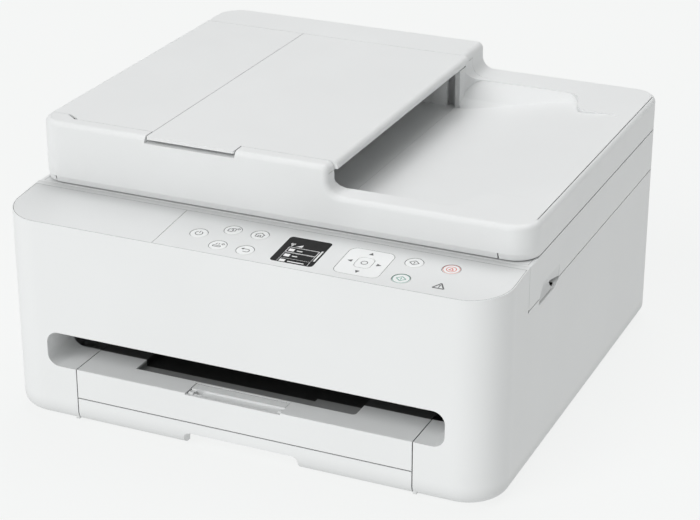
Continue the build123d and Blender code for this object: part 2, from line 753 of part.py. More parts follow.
service_x0 = frame_half_width - 73.0
with BuildPart() as platen:
    block(-frame_half_width + sheet / 2 + 0.2, service_x0 - 0.5, platen_front, platen_rear, platen_top - platen_thickness, platen_top)
    rib_pitch = 2 * paper_half_width / platen_rib_count
    for rib in range(platen_rib_count):
        rib_x = -paper_half_width + (rib + 0.5) * rib_pitch
        if rib_x < service_x0 - 4:
            block(rib_x - 0.6, rib_x + 0.6, platen_front + 2, platen_rear - 2,
                  platen_top - 0.5, platen_top + platen_rib)
save(platen, "platen")

with BuildPart() as maintenance_unit:
    service_x1 = frame_half_width - sheet / 2 - 0.5
    service_level = platen_top - platen_thickness
    block(service_x0, service_x1, exit_roller_y + 7, feed_roller_y - 9, service_level, service_level + 2.5)
    block(service_x0, service_x1, tie_front + tie_depth + 0.5, feed_roller_y - 9, 24, service_level + 0.5)
    # One rim and one block of foam for each print head
    for cap_x in (service_x0 + 11.0, service_x0 + 47.0):
        block(cap_x - 9, cap_x + 9, platen_front + 6, platen_rear - 8, service_level + 2, platen_top + 2)
        block(cap_x - 7.5, cap_x + 7.5, platen_front + 7.5, platen_rear - 9.5, service_level + 3,
              platen_top + 3, mode=Mode.SUBTRACT)
    # Wiper blade
    block(service_x0 + 1, service_x0 + 2.2, platen_front + 8, platen_rear - 10, service_level + 2, platen_top + 2)
save(maintenance_unit, "maintenance_unit")

with BuildPart() as feed_roller:
    rod_along_x(gear_x - gear_face / 2 - 1, frame_half_width + 3, feed_roller_y, roller_z, feed_shaft_radius)
    for section_x in (-102, -60, -20, 20, 60):
        rod_along_x(section_x - 14, section_x + 14, feed_roller_y, roller_z, roller_radius)
save(feed_roller, "feed_roller")

with BuildPart() as exit_roller:
    rod_along_x(gear_x - gear_face / 2 - 1, frame_half_width + 3, exit_roller_y, roller_z, exit_shaft_radius)
    for section_x in (-95, -57, -19, 19, 57, 95):
        rod_along_x(section_x - 6, section_x + 6, exit_roller_y, roller_z, roller_radius)
save(exit_roller, "exit_roller")

for gear_name, y, z, teeth, turned, bore in (
        ("feed_gear", feed_roller_y, roller_z, feed_gear_teeth, 0, feed_shaft_radius + shaft_gap),
        ("idler_gear", idler_y, roller_z, idler_gear_teeth, 0.5, 3.0 + shaft_gap),
        ("exit_gear", exit_roller_y, roller_z, feed_gear_teeth, 0, exit_shaft_radius + shaft_gap)):
    with BuildPart() as gear:
        extrude(gear_outline(gear_plane(y, z), teeth, turned, bore), amount=gear_face)
        if teeth == feed_gear_teeth:
            # Recess that leaves a rim, a hub and a thin web
            with BuildSketch(gear_plane(y, z)):
                Circle(gear_module * teeth / 2 - 4)
                Circle(bore + 3, mode=Mode.SUBTRACT)
            extrude(amount=gear_face / 3, mode=Mode.SUBTRACT)
    save(gear, gear_name)

with BuildPart() as motor_pinion:
    extrude(gear_outline(gear_plane(feed_motor_y, feed_motor_z), pinion_teeth, pinion_turn, 1.0),
            amount=gear_face)
    rod_along_x(gear_x - gear_face / 2, -frame_half_width + 8, feed_motor_y, feed_motor_z, motor_shaft_radius)
save(motor_pinion, "motor_pinion")

with BuildPart() as feed_motor:
    motor_x0 = -frame_half_width + sheet / 2
    rod_along_x(motor_x0, motor_x0 + 26, feed_motor_y, feed_motor_z, motor_radius)
    chamfer(feed_motor.edges().filter_by(GeomType.CIRCLE).group_by(Axis.X)[-1], 1.0)
    rod_along_x(motor_x0 - 1, motor_x0 + 9, feed_motor_y, feed_motor_z, motor_shaft_radius + shaft_gap,
                mode=Mode.SUBTRACT)
save(feed_motor, "feed_motor")

with BuildPart() as pickup_roller:
    rod_along_x(-pickup_half_width - 3, pickup_half_width + 3, pickup_y, pickup_z, pickup_shaft_radius)
    for section_x in (-13, 13):
        rod_along_x(section_x - 9, section_x + 9, pickup_y, pickup_z, pickup_radius)
save(pickup_roller, "pickup_roller")


# Print carriage with its two cartridges, driven by a belt

carriage_x1 = frame_half_width - 6.0
carriage_x0 = carriage_x1 - 78.0
carriage_front = frame_front + 22.0
carriage_rear = frame_front + 88.0
carriage_bottom = platen_top + 5.0
carriage_top = deck_level - 16.0
carriage_wall = 2.5
carriage_floor = carriage_bottom + 6.0
cartridge_gap = 0.4
bay_width = (carriage_x1 - carriage_x0 - 3 * carriage_wall) / 2
black_bay_x0 = carriage_x0 + carriage_wall
color_bay_x0 = black_bay_x0 + bay_width + carriage_wall

with BuildPart() as print_carriage:
    block(carriage_x0, carriage_x1, carriage_front, carriage_rear, carriage_bottom, carriage_top)
    fillet(print_carriage.edges().filter_by(Axis.Z), 3.0)
    block(carriage_x0 + 8, carriage_x1 - 8, carriage_rear - 1, rail_y + rail_radius + 5,
          rail_z - rail_radius - 5, rail_z + rail_radius + 5)
    rod_along_x(carriage_x0, carriage_x1, rail_y, rail_z, rail_radius + shaft_gap, mode=Mode.SUBTRACT)
    for bay_x0 in (black_bay_x0, color_bay_x0):
        block(bay_x0, bay_x0 + bay_width, carriage_front + carriage_wall, carriage_rear - carriage_wall,
              carriage_floor, carriage_top + 1, mode=Mode.SUBTRACT)
        bay_middle = bay_x0 + bay_width / 2
        block(bay_middle - 9, bay_middle + 9, platen_front + 8, platen_rear - 10,
              carriage_bottom - 1, carriage_floor + 1, mode=Mode.SUBTRACT)
    # Open front of the bays, through which the cartridges are tipped in
    for bay_x0 in (black_bay_x0, color_bay_x0):
        block(bay_x0 + 3, bay_x0 + bay_width - 3, carriage_front - 1, carriage_front + carriage_wall + 1,
              carriage_top - 16, carriage_top + 1, mode=Mode.SUBTRACT)
    # Clip that takes the upper run of the belt
    clip_x = (carriage_x0 + carriage_x1) / 2
    clip_z = pulley_z + pulley_radius + belt_thickness / 2
    block(clip_x - 6, clip_x + 6, rail_y + rail_radius + 4, belt_front - fit_gap, clip_z - 4, clip_z + 3)
save(print_carriage, "print_carriage")

for cartridge_name, bay_x0 in (("black_cartridge", black_bay_x0), ("color_cartridge", color_bay_x0)):
    with BuildPart() as cartridge:
        x0 = bay_x0 + cartridge_gap
        x1 = bay_x0 + bay_width - cartridge_gap
        y0 = carriage_front + carriage_wall + cartridge_gap
        y1 = carriage_rear - carriage_wall - cartridge_gap
        with BuildSketch(side_on(x0)):
            with BuildLine():
                Polyline((y0, carriage_floor + fit_gap), (y1, carriage_floor + fit_gap),
                         (y1, carriage_top - 8), (y1 - 6, carriage_top - 2), (y0 + 10, carriage_top - 2),
                         (y0 + 8, carriage_top + 1), (y0, carriage_top + 1), close=True)
            make_face()
        extrude(amount=x1 - x0)
        fillet(cartridge.edges().filter_by(Axis.X).group_by(Axis.Z)[-1], 0.8)
        # Print head under the tank
        middle = (x0 + x1) / 2
        block(middle - 8.5, middle + 8.5, platen_front + 8.5, platen_rear - 10.5,
              carriage_bottom + 0.2, carriage_floor + 1)
    save(cartridge, cartridge_name)

with BuildPart() as carriage_belt:
    with BuildSketch(upright(belt_front)):
        with Locations((0, pulley_z)):
            SlotCenterToCenter(2 * pulley_x, 2 * (pulley_radius + belt_thickness + shaft_gap))
            SlotCenterToCenter(2 * pulley_x, 2 * (pulley_radius + shaft_gap), mode=Mode.SUBTRACT)
    extrude(amount=-belt_width)
save(carriage_belt, "carriage_belt")

with BuildPart() as motor_pulley:
    rod_along_y(belt_front, belt_front + belt_width, -pulley_x, pulley_z, pulley_radius)
    rod_along_y(belt_front - 1.2, belt_front - 0.2, -pulley_x, pulley_z, pulley_radius + 2)
    rod_along_y(belt_front - 1, belt_front + 1, -pulley_x, pulley_z, pulley_radius - 1)
    rod_along_y(belt_front, frame_rear + 8, -pulley_x, pulley_z, motor_shaft_radius)
save(motor_pulley, "motor_pulley")

with BuildPart() as idler_pulley:
    rod_along_y(belt_front, belt_front + belt_width, pulley_x, pulley_z, pulley_radius)
    rod_along_y(belt_front - 1.2, belt_front - 0.2, pulley_x, pulley_z, pulley_radius + 2)
    rod_along_y(belt_front - 1, belt_front + 1, pulley_x, pulley_z, pulley_radius - 1)
    rod_along_y(belt_front - 3, belt_front + belt_width + 1, pulley_x, pulley_z,
                pulley_pin_radius + shaft_gap, mode=Mode.SUBTRACT)
save(idler_pulley, "idler_pulley")

with BuildPart() as carriage_motor:
    rod_along_y(frame_rear, frame_rear + motor_length, -pulley_x, pulley_z, motor_radius)
    chamfer(carriage_motor.edges().filter_by(GeomType.CIRCLE).group_by(Axis.Y)[-1], 1.0)
    rod_along_y(frame_rear - 1, frame_rear + 9, -pulley_x, pulley_z, motor_shaft_radius + shaft_gap,
                mode=Mode.SUBTRACT)
save(carriage_motor, "carriage_motor")


# Electrics: main board, power supply and the two sockets at the back

main_board_x = inner_x - 8.0
main_board_front = back - 209.0
main_board_rear = back - 39.0
main_board_low = 20.0
main_board_high = deck_level - 42.0
supply_x1 = left + 60.0
supply_front = back - 77.0
supply_rear = back - 30.0
supply_top = 62.0

with BuildPart() as main_board:
    board_face = main_board_x - board_thickness
    block(board_face, main_board_x, main_board_front, main_board_rear, main_board_low, main_board_high)
    for y in (main_board_front + 8, main_board_rear - 8):
        for z in (main_board_low + 6, main_board_high - 6):
            rod_along_x(main_board_x, inner_x, y, z, 3.0)
    # Processor, driver chip and a row of plugs, placed from the board's front lower corner
    for along, up, length, rise in ((30, 16, 26, 26), (80, 10, 12, 20), (112, 36, 38, 6)):
        block(board_face - 3, board_face, main_board_front + along, main_board_front + along + length,
              main_board_low + up, main_board_low + up + rise)
save(main_board, "main_board")

with BuildPart() as power_supply:
    block(left + wall + 7, supply_x1, supply_front, supply_rear, floor_top, supply_top)
    chamfer(power_supply.edges().filter_by(Axis.Z), 2.0)
save(power_supply, "power_supply")

socket_gap = 0.15
with BuildPart() as power_inlet:
    block(inlet_x - inlet_width / 2 + socket_gap, inlet_x + inlet_width / 2 - socket_gap, back - 20, back - 0.4,
          inlet_z - inlet_height / 2 + socket_gap, inlet_z + inlet_height / 2 - socket_gap)
    with BuildSketch(upright(back + 1)):
        with Locations((inlet_x, inlet_z)):
            SlotOverall(17, 9.5)
    extrude(amount=15, mode=Mode.SUBTRACT)
    for side in (-1, 1):
        rod_along_y(back - 17, back - 4, inlet_x + side * 4, inlet_z, 1.2)
save(power_inlet, "power_inlet")

with BuildPart() as usb_port:
    block(usb_x - usb_width / 2 + socket_gap, usb_x + usb_width / 2 - socket_gap, back - 16, back - 0.4,
          usb_z - usb_height / 2 + socket_gap, usb_z + usb_height / 2 - socket_gap)
    block(usb_x - 4.5, usb_x + 4.5, back - 12, back + 1, usb_z - 4.2, usb_z + 4.2, mode=Mode.SUBTRACT)
    block(usb_x - 2.8, usb_x + 2.8, back - 14, back - 3, usb_z - 1.6, usb_z + 1.6)
save(usb_port, "usb_port")


# Rear cover with the ribs that turn the paper round

rear_rib_count = 8
with BuildPart() as rear_cover:
    cover_half = rear_opening_half_width - 0.5
    block(-cover_half, cover_half, back - wall, back, rear_axis_z, rear_opening_top - 0.5)
    rod_along_x(-cover_half, cover_half, rear_axis_y, rear_axis_z, rear_barrel_radius)
    rod_along_x(-cover_half - 1.5, cover_half + 1.5, rear_axis_y, rear_axis_z, rear_pin_radius)
    for rib in range(rear_rib_count):
        rib_x = (rib - (rear_rib_count - 1) / 2) * 26.0
        with BuildSketch(side_on(rib_x - 1)):
            with BuildLine():
                rib_low = rear_axis_z + 6
                rib_high = rear_opening_top - 6
                Polyline((back - wall / 2, rib_low), (back - wall - 20, rib_low))
                ThreePointArc((back - wall - 20, rib_low), (back - wall - 6, (rib_low + rib_high) / 2),
                              (back - wall - 20, rib_high))
                Polyline((back - wall - 20, rib_high), (back - wall / 2, rib_high), (back - wall / 2, rib_low))
            make_face()
        extrude(amount=2)
    # Finger dip at the top edge
    with BuildSketch(upright(back + 1)):
        with Locations((0, rear_opening_top)):
            SlotOverall(46, 14)
    extrude(amount=2, mode=Mode.SUBTRACT)
save(rear_cover, "rear_cover")


# Scanner unit: tub, top frame, glass, scan bar and the arm that holds the unit open

scanner_floor = scanner_bottom + wall
top_frame_thickness = 5.0
top_frame_lip = 1.4
glass_thickness = 3.0
glass_half_x = right - 19.0
glass_half_y = (depth - 127.0) / 2
glass_y = front + 79.0 + glass_half_y
window_x0 = left + 48.0
window_x1 = right - 24.0
window_half_y = glass_half_y - 4.5
strip_x0 = left + 23.0
strip_x1 = left + 38.0
scan_bar_x = (strip_x0 + strip_x1) / 2
scan_bar_half_x = 9.0
scan_bar_half_y = glass_half_y - 1.0
scan_rail_top = scanner_bottom + 8.2
scan_rail_half_y = 5.0
arm_x0 = right - 26.0
arm_x1 = right - 20.0
arm_pivot_y = arm_slot_front + 13.5
arm_pivot_z = deck_level - 4.4
arm_length = arm_slot_rear - 12.5 - arm_pivot_y
arm_radius = 4.2
arm_pin_radius = 1.8
pillar_x = right - 9.0


def scoop_dish(side):
    """The dish of a finger scoop as a solid: two crossed round cuts inside a slanted outline."""
    low = deck_level - scoop_drop
    half_rise = (scoop_drop + scoop_rise) / 2
    half_length = (scoop_end - scoop_start) / 2
    rise_radius = (half_rise ** 2 + scoop_depth ** 2) / (2 * scoop_depth)
    length_radius = (half_length ** 2 + scoop_depth ** 2) / (2 * scoop_depth)
    with BuildPart(mode=Mode.PRIVATE) as dish:
        with BuildSketch(side_on(side * (right + 1))) as outline:
            with BuildLine():
                Polyline(
                    (scoop_start + 0.5, low), (scoop_start + 2, low + half_rise),
                    (scoop_start + 8, deck_level + scoop_rise), (scoop_end, deck_level + scoop_rise),
                    (scoop_end - 2, deck_level), (scoop_flat_end, low),
                    close=True,
                )
            make_face()
            fillet(outline.vertices().group_by(Axis.Z)[-1].sort_by(Axis.Y)[0], 6.0)
        extrude(outline.sketch, amount=-side * (scoop_depth + 2))
        rod_along_y(scoop_start - 1, scoop_end + 1, side * (right + rise_radius - scoop_depth),
                    low + half_rise, rise_radius, mode=Mode.INTERSECT)
        rod_along_z(low - 1, deck_level + scoop_rise + 1, side * (right + length_radius - scoop_depth),
                    scoop_start + half_length, length_radius, mode=Mode.INTERSECT)
    return dish.part


with BuildPart() as scanner_cavity:
    inside = plan_outline(level(scanner_floor), left + wall, right - wall, scanner_front + wall, back - wall,
                          0, rear_corner - wall)
    extrude(inside, amount=scanner_top_level)
    fillet(scanner_cavity.faces().sort_by(Axis.Z)[0].edges(), hinge_radius - wall)

with BuildPart() as scanner_housing:
    outside = plan_outline(level(scanner_bottom), left, right, scanner_front, back, 0, rear_corner)
    extrude(outside, amount=scanner_top_level - scanner_bottom)
    add(scanner_cavity.part, mode=Mode.SUBTRACT)
    for side in (-1, 1):
        # Tab and inner skin of the finger scoop, then the dish itself
        tab = sorted((side * right, side * (right - scoop_depth - wall + seam)))
        block(tab[0], tab[1], scoop_start + seam, scoop_flat_end, deck_level - scoop_drop + seam, scanner_floor)
        block(tab[0], tab[1], scoop_start - 4, scoop_end + 4, scanner_bottom, deck_level + scoop_rise + 4)
        add(scoop_dish(side), mode=Mode.SUBTRACT)
        hinge_pocket(side * scanner_hinge_x, scanner_axis_y, scanner_axis_z)
        # Pillars under the top frame
        for y in (scanner_front + 10, back - 53.0):
            rod_along_z(scanner_floor - 1, scanner_top_level - top_frame_thickness, side * pillar_x, y, 4.0)
    hinge_relief(scanner_axis_y, scanner_axis_z)
    seam_dots()
    # Rail of the scan bar
    block(left + 16, right - 16, glass_y - scan_rail_half_y, glass_y + scan_rail_half_y,
          scanner_floor - 1, scan_rail_top)
    # Ears and pin of the support arm
    for ear_x in (arm_x0 - 2, arm_x1 + 2):
        block(ear_x - 1.5, ear_x + 1.5, arm_pivot_y - 5, arm_pivot_y + 5, arm_pivot_z - 4, scanner_floor - 1)
    rod_along_x(arm_x0 - 3, arm_x1 + 3, arm_pivot_y, arm_pivot_z, arm_pin_radius)
save(scanner_housing, "scanner_housing")

with BuildPart() as scanner_top:
    edge_gap = wall + 0.25
    frame_bottom = scanner_top_level - top_frame_thickness
    outline = plan_outline(level(frame_bottom), left + edge_gap, right - edge_gap,
                           scanner_front + edge_gap, back - edge_gap, 0, rear_corner - edge_gap)
    extrude(outline, amount=top_frame_thickness)
    block(-glass_half_x, glass_half_x, glass_y - glass_half_y, glass_y + glass_half_y,
          frame_bottom - 1, scanner_top_level - top_frame_lip, mode=Mode.SUBTRACT)
    for x0, x1 in ((window_x0, window_x1), (strip_x0, strip_x1)):
        block(x0, x1, glass_y - window_half_y, glass_y + window_half_y,
              frame_bottom, scanner_top_level + 1, mode=Mode.SUBTRACT)
    for side in (-1, 1):
        hinge_lug(side * lid_hinge_x, scanner_top_level, lid_axis_y, lid_axis_z)
save(scanner_top, "scanner_top")

glass_top = scanner_top_level - top_frame_lip
with BuildPart() as scanner_glass:
    block(-glass_half_x + fit_gap, glass_half_x - fit_gap, glass_y - glass_half_y + fit_gap,
          glass_y + glass_half_y - fit_gap, glass_top - glass_thickness, glass_top)
save(scanner_glass, "scanner_glass")

with BuildPart() as scan_bar:
    block(scan_bar_x - scan_bar_half_x, scan_bar_x + scan_bar_half_x, glass_y - scan_bar_half_y,
          glass_y + scan_bar_half_y, scan_rail_top - 3, glass_top - glass_thickness - 1.4)
    chamfer(scan_bar.edges().filter_by(Axis.Y), 1.5)
    # Groove that rides on the rail, and the slot of the lamp and lens
    block(scan_bar_x - 12, scan_bar_x + 12, glass_y - scan_rail_half_y - 0.1, glass_y + scan_rail_half_y + 0.1,
          scan_rail_top - 4, scan_rail_top + 0.1, mode=Mode.SUBTRACT)
    block(scan_bar_x - 2.5, scan_bar_x + 2.5, glass_y - scan_bar_half_y + 6, glass_y + scan_bar_half_y - 6,
          glass_top - glass_thickness - 4, glass_top, mode=Mode.SUBTRACT)
save(scan_bar, "scan_bar")

with BuildPart() as support_arm:
    with BuildSketch(side_on(arm_x0)):
        with Locations((arm_pivot_y + arm_length / 2, arm_pivot_z)):
            SlotCenterToCenter(arm_length, 2 * arm_radius)
        with Locations((arm_pivot_y, arm_pivot_z)):
            Circle(arm_pin_radius + shaft_gap, mode=Mode.SUBTRACT)
        with Locations((arm_pivot_y + arm_length / 2, arm_pivot_z)):
            SlotCenterToCenter(arm_length - 34, arm_radius, mode=Mode.SUBTRACT)
    extrude(amount=arm_x1 - arm_x0)
save(support_arm, "support_arm")


# Lid: outer moulding with the feeder's hump and the output recess

lid_front_corner = 18.0
lid_bevel_height = 4.5
lid_bevel = 1.5
lid_notch_width = 1.0
hump_x = right - 147.0
hump_round = 5.0
hump_foot = 10.0
top_round = 4.0
bay_x1 = hump_x - 4.0
bay_front = front + 70.0
bay_rear = back - 41.0
bay_jog = 7.0
bay_jog_x0 = left + 15.0
bay_jog_x1 = left + 25.0
cover_round = 7.0
cover_axis_x = left + cover_round
cover_axis_z = rim_level - 5.5
cover_swing = math.sqrt(2) * cover_round + fit_gap
cover_pin_radius = 2.0
cover_edge_x = left + 89.0
cover_gap = 0.4
tray_axis_x = hump_x - 3.0
tray_axis_z = height - 3.5
tray_barrel = 3.5
tray_pin_radius = 1.5
nose_x = hump_x + 2.5
nose_round = 4.0
nose_bottom = height - 5.5
nose_swing = math.hypot(nose_x - tray_axis_x, tray_axis_z - nose_bottom) + fit_gap
lip_x0 = cover_edge_x + cover_gap / 2
lip_x1 = cover_edge_x + 69.0
lip_thickness = 2.2
lip_floor = height - 4.9
way_front = bay_front + 0.5
way_rear = back - 53.0
trough_front = front + 77.0
trough_rear = back - 32.0
trough_floor = rim_level - 18.0
trough_x0 = hump_x - 5.0
trough_bend_x = right - 70.0
trough_step = 34.0
trough_end_x = right - 6.0
seam_groove = 0.4
seam_level = height - 6.0
front_seam_y = front + 56.8
rear_seam_y = back - 26.0
base_bottom = lid_bottom + 1.7
base_top = base_bottom + wall
base_rear = back - 21.5


def hump_outline(shrink):
    """Front view of the lid's outer moulding, drawn smaller by a wall thickness for its cavity."""
    top = height - shrink
    edge = hump_x - shrink
    corner = hump_round - shrink
    foot = hump_foot + shrink
    foot_x = hump_x + hump_foot
    foot_z = rim_level + hump_foot
    with BuildSketch(upright(back + 1)) as outline:
        with BuildLine():
            Polyline((foot_x, foot_z - foot), (right + wall, foot_z - foot), (right + wall, lid_bottom - wall),
                     (left - wall, lid_bottom - wall), (left - wall, top), (edge - corner, top))
            CenterArc((edge - corner, top - corner), corner, 0, 90)
            Line((edge, top - corner), (edge, foot_z))
            CenterArc((foot_x, foot_z), foot, 180, 90)
        make_face()
    return outline.sketch


def on_rim(edge):
    """Whether an edge belongs to the outer top edge of the lid."""
    middle = edge.center()
    across = abs(middle.X) < width / 4 and abs(middle.Y - (lid_front + back) / 2) < 1
    corner_line = abs(middle.X) > width / 4 and edge.bounding_box().size.Z > 1
    return middle.Z > rim_level - 0.1 and not across and not corner_line


def bay_outline(grow):
    """Plan of the open bay under the feeder cover and the document tray."""
    with BuildSketch(level(lid_bottom - wall)) as plan:
        with BuildLine():
            Polyline(
                (left - wall, bay_front + bay_jog - grow), (bay_jog_x0, bay_front + bay_jog - grow),
                (bay_jog_x1, bay_front - grow), (bay_x1 + grow, bay_front - grow),
                (bay_x1 + grow, bay_rear + grow), (left - wall, bay_rear + grow),
                close=True,
            )
        make_face()
    return plan.sketch


def trough(grow, drop):
    """The output recess as a solid, grown sideways and downward for the shell round it."""
    west = hump_x - grow
    east = trough_end_x + grow
    south = trough_front - grow
    north = trough_rear + grow
    bend = trough_bend_x
    with BuildPart(mode=Mode.PRIVATE) as hollow:
        with BuildSketch(level(lid_bottom)) as plan:
            with BuildLine():
                # The ends of the opening beside the hump step forward in a short curve
                ThreePointArc((west, south - 7), (hump_x + 3.5, south - 3.5), (hump_x + 11, south))
                Line((hump_x + 11, south), (bend, south))
                Spline((bend, south), (bend + 16, south + trough_step / 2), (bend + 32, south + trough_step),
                       tangents=((1, 0), (1, 0)))
                Polyline((bend + 32, south + trough_step), (east, south + trough_step),
                         (east, north - trough_step), (bend + 32, north - trough_step))
                Spline((bend + 32, north - trough_step), (bend + 18, north - trough_step / 2),
                       (bend + 2, north), tangents=((-1, 0), (-1, 0)))
                Line((bend + 2, north), (hump_x + 12, north))
                ThreePointArc((hump_x + 12, north), (hump_x + 3, north - 5), (west, north - 11))
                Line((west, north - 11), (west, south - 7))
            make_face()
            fillet(plan.vertices().group_by(Axis.X)[-1], 16.0)
        extrude(plan.sketch, amount=height)
        with BuildSketch(upright(back)) as floor_line:
            with BuildLine():
                Line((trough_x0 - grow, trough_floor - drop), (hump_x, trough_floor + 0.4 - drop))
                Spline((hump_x, trough_floor + 0.4 - drop), (hump_x + 34, trough_floor + 4.8 - drop),
                       (bend + 2, trough_floor + 12.1 - drop), (right - 4, rim_level + 0.3 - drop),
                       tangents=((1, 0.05), (1, 0.04)))
                Polyline((right - 4, rim_level + 0.3 - drop), (right - 4 + wall, height + wall),
                         (trough_x0 - grow, height + wall), (trough_x0 - grow, trough_floor - drop))
            make_face()
        extrude(floor_line.sketch, amount=depth, mode=Mode.INTERSECT)
        with BuildSketch(side_on(0)) as rear_slope:
            with BuildLine():
                Polyline((front, lid_bottom - drop), (front, height + wall),
                         (north + 3, height + wall), (north + 3, rim_level + 2 - drop),
                         (north - 14, trough_floor + 6 - drop), (north - 24, trough_floor - drop),
                         (north - 24, lid_bottom - drop), close=True)
            make_face()
        extrude(rear_slope.sketch, amount=width, both=True, mode=Mode.INTERSECT)
        # Way through to the left, under the hump
        block(trough_x0 - grow, hump_x + 1, way_front - grow, way_rear + grow, trough_floor - drop,
              nose_bottom - fit_gap)
    return hollow.part


with BuildPart() as lid_cavity:
    inside = plan_outline(level(lid_bottom - wall), left + wall, right - wall, lid_front + wall, back - wall,
                          lid_front_corner - wall, rear_corner - wall)
    extrude(inside, amount=height)
    extrude(hump_outline(wall), amount=depth + 2 * wall, mode=Mode.INTERSECT)
    extrude(bay_outline(wall), amount=height, mode=Mode.SUBTRACT)
    add(trough(wall, 2.2), mode=Mode.SUBTRACT)
    block(lip_x0 - 1 - wall, lip_x1 + 1 + wall, lid_front, bay_front, lip_floor - wall, height,
          mode=Mode.SUBTRACT)

with BuildPart() as flank_seams:
    # Fine grooves on the hump's flank: level beside the tray's ends, then down to the rim
    for seam_y, seam_end in ((front_seam_y, way_front), (rear_seam_y, bay_rear)):
        block(hump_x - 1, hump_x + hump_foot + 4, seam_y, seam_y + seam_groove, rim_level - 1, seam_level)
        block(hump_x - 1, hump_x + 1, min(seam_y, seam_end), max(seam_y, seam_end),
              seam_level - seam_groove, seam_level)
    extrude(hump_outline(seam_groove), amount=depth + 2 * wall, mode=Mode.SUBTRACT)

with BuildPart() as feeder_housing:
    beveled = plan_outline(level(lid_bottom), left, right, lid_front + lid_bevel, back,
                           lid_front_corner, rear_corner)
    full = plan_outline(level(lid_bottom + lid_bevel_height), left, right, lid_front, back,
                        lid_front_corner, rear_corner)
    loft([beveled.face(), full.face()])
    extrude(full, amount=height - lid_bottom - lid_bevel_height)
    extrude(hump_outline(0), amount=depth + 2 * wall, mode=Mode.INTERSECT)
    fillet(feeder_housing.edges().filter_by(on_rim), top_round)
    add(lid_cavity.part, mode=Mode.SUBTRACT)
    # Bosses for the pins of the document tray
    for y in (bay_front - 2, bay_rear + 2):
        block(tray_axis_x - 5, hump_x - 0.5, y - 2.5, y + 2.5, tray_axis_z - 6, height - wall)
    extrude(bay_outline(0), amount=height, mode=Mode.SUBTRACT)
    add(trough(0, 0), mode=Mode.SUBTRACT)
    add(flank_seams.part, mode=Mode.SUBTRACT)
    # Room for the tray's hinge and for the swing of its nose, and the bores of its pins
    block(bay_x1 - 1, hump_x + 1, bay_front, bay_rear, nose_bottom - fit_gap, height + 1, mode=Mode.SUBTRACT)
    rod_along_y(bay_front, bay_rear, tray_axis_x, tray_axis_z, nose_swing, mode=Mode.SUBTRACT)
    rod_along_y(bay_front - 3, bay_rear + 3, tray_axis_x, tray_axis_z, tray_pin_radius + hinge_bore_gap,
                mode=Mode.SUBTRACT)
    # Finger notch under the lip of the document tray
    block(lip_x0 - 1, lip_x1 + 1, lid_front - 1, bay_front + 1, lip_floor, height + 1, mode=Mode.SUBTRACT)
    # Left wall under the feeder cover, hollowed for the swing of the cover's lower edge
    block(left, left + wall, bay_front + bay_jog, bay_rear, lid_bottom, cover_axis_z - cover_round)
    rod_along_y(bay_front + bay_jog, bay_rear, cover_axis_x, cover_axis_z, cover_swing, mode=Mode.SUBTRACT)
    rod_along_y(bay_front + bay_jog - 2, bay_rear + 2, cover_axis_x, cover_axis_z,
                cover_pin_radius + hinge_bore_gap, mode=Mode.SUBTRACT)
    # Room for the feeder's base plate
    base_room = plan_outline(level(lid_bottom - wall), left + wall, right - wall, lid_front + wall,
                             base_rear + fit_gap, lid_front_corner - wall)
    extrude(base_room, amount=base_top - lid_bottom + wall, mode=Mode.SUBTRACT)
    for side in (-1, 1):
        hinge_pocket(side * lid_hinge_x, lid_axis_y, lid_axis_z)
    hinge_relief(lid_axis_y, lid_axis_z)
    # Parting groove along the top edge on the right, with a short hook at its rear end
    block(right - 3.4, right - 2.8, front + 78, back - 16, rim_level - 1.5, rim_level + 1, mode=Mode.SUBTRACT)
    block(right - 5.4, right - 2.8, back - 16.6, back - 16, rim_level - 1.5, rim_level + 1, mode=Mode.SUBTRACT)
    # Two notches in the bevel along the front edge
    for notch_x in (left + 13.0, right - 24.0):
        block(notch_x, notch_x + lid_notch_width, lid_front - 1, lid_front + lid_bevel + lid_notch_width,
              lid_bottom - 1, lid_bottom + lid_bevel_height, mode=Mode.SUBTRACT)
save(feeder_housing, "feeder_housing")


# Inside of the feeder: base plate with its cheeks and ramp, the pad below it and the rollers

cheek_thickness = 3.0
cheek_front = front + 78.5
cheek_rear = back - 50.0
cheek_x0 = left + 18.0
cheek_x1 = hump_x - 11.5
cheek_rib = 12.0
ramp_x0 = left + 66.0
ramp_x1 = hump_x - 13.0
ramp_top = height - 15.5
ramp_bottom = ramp_top - 3.0
document_roller_x = left + 80.0
document_roller_z = ramp_top + 6.3
document_roller_radius = 5.5
document_shaft_radius = 2.0
turn_roller_x = left + 40.0
turn_roller_z = rim_level - 5.5
turn_roller_radius = 13.0
turn_shaft_radius = 3.0
post_front = front + 64.0
post_rear = back - 25.0
post_places = [(left + 38.0, post_front, height - wall), (hump_x - 21.0, post_front, height - wall),
               (right - 16.0, post_front + 4.0, rim_level - wall), (left + 28.0, post_rear, height - wall),
               (hump_x - 21.0, post_rear, height - wall), (right - 16.0, post_rear, rim_level - wall)]

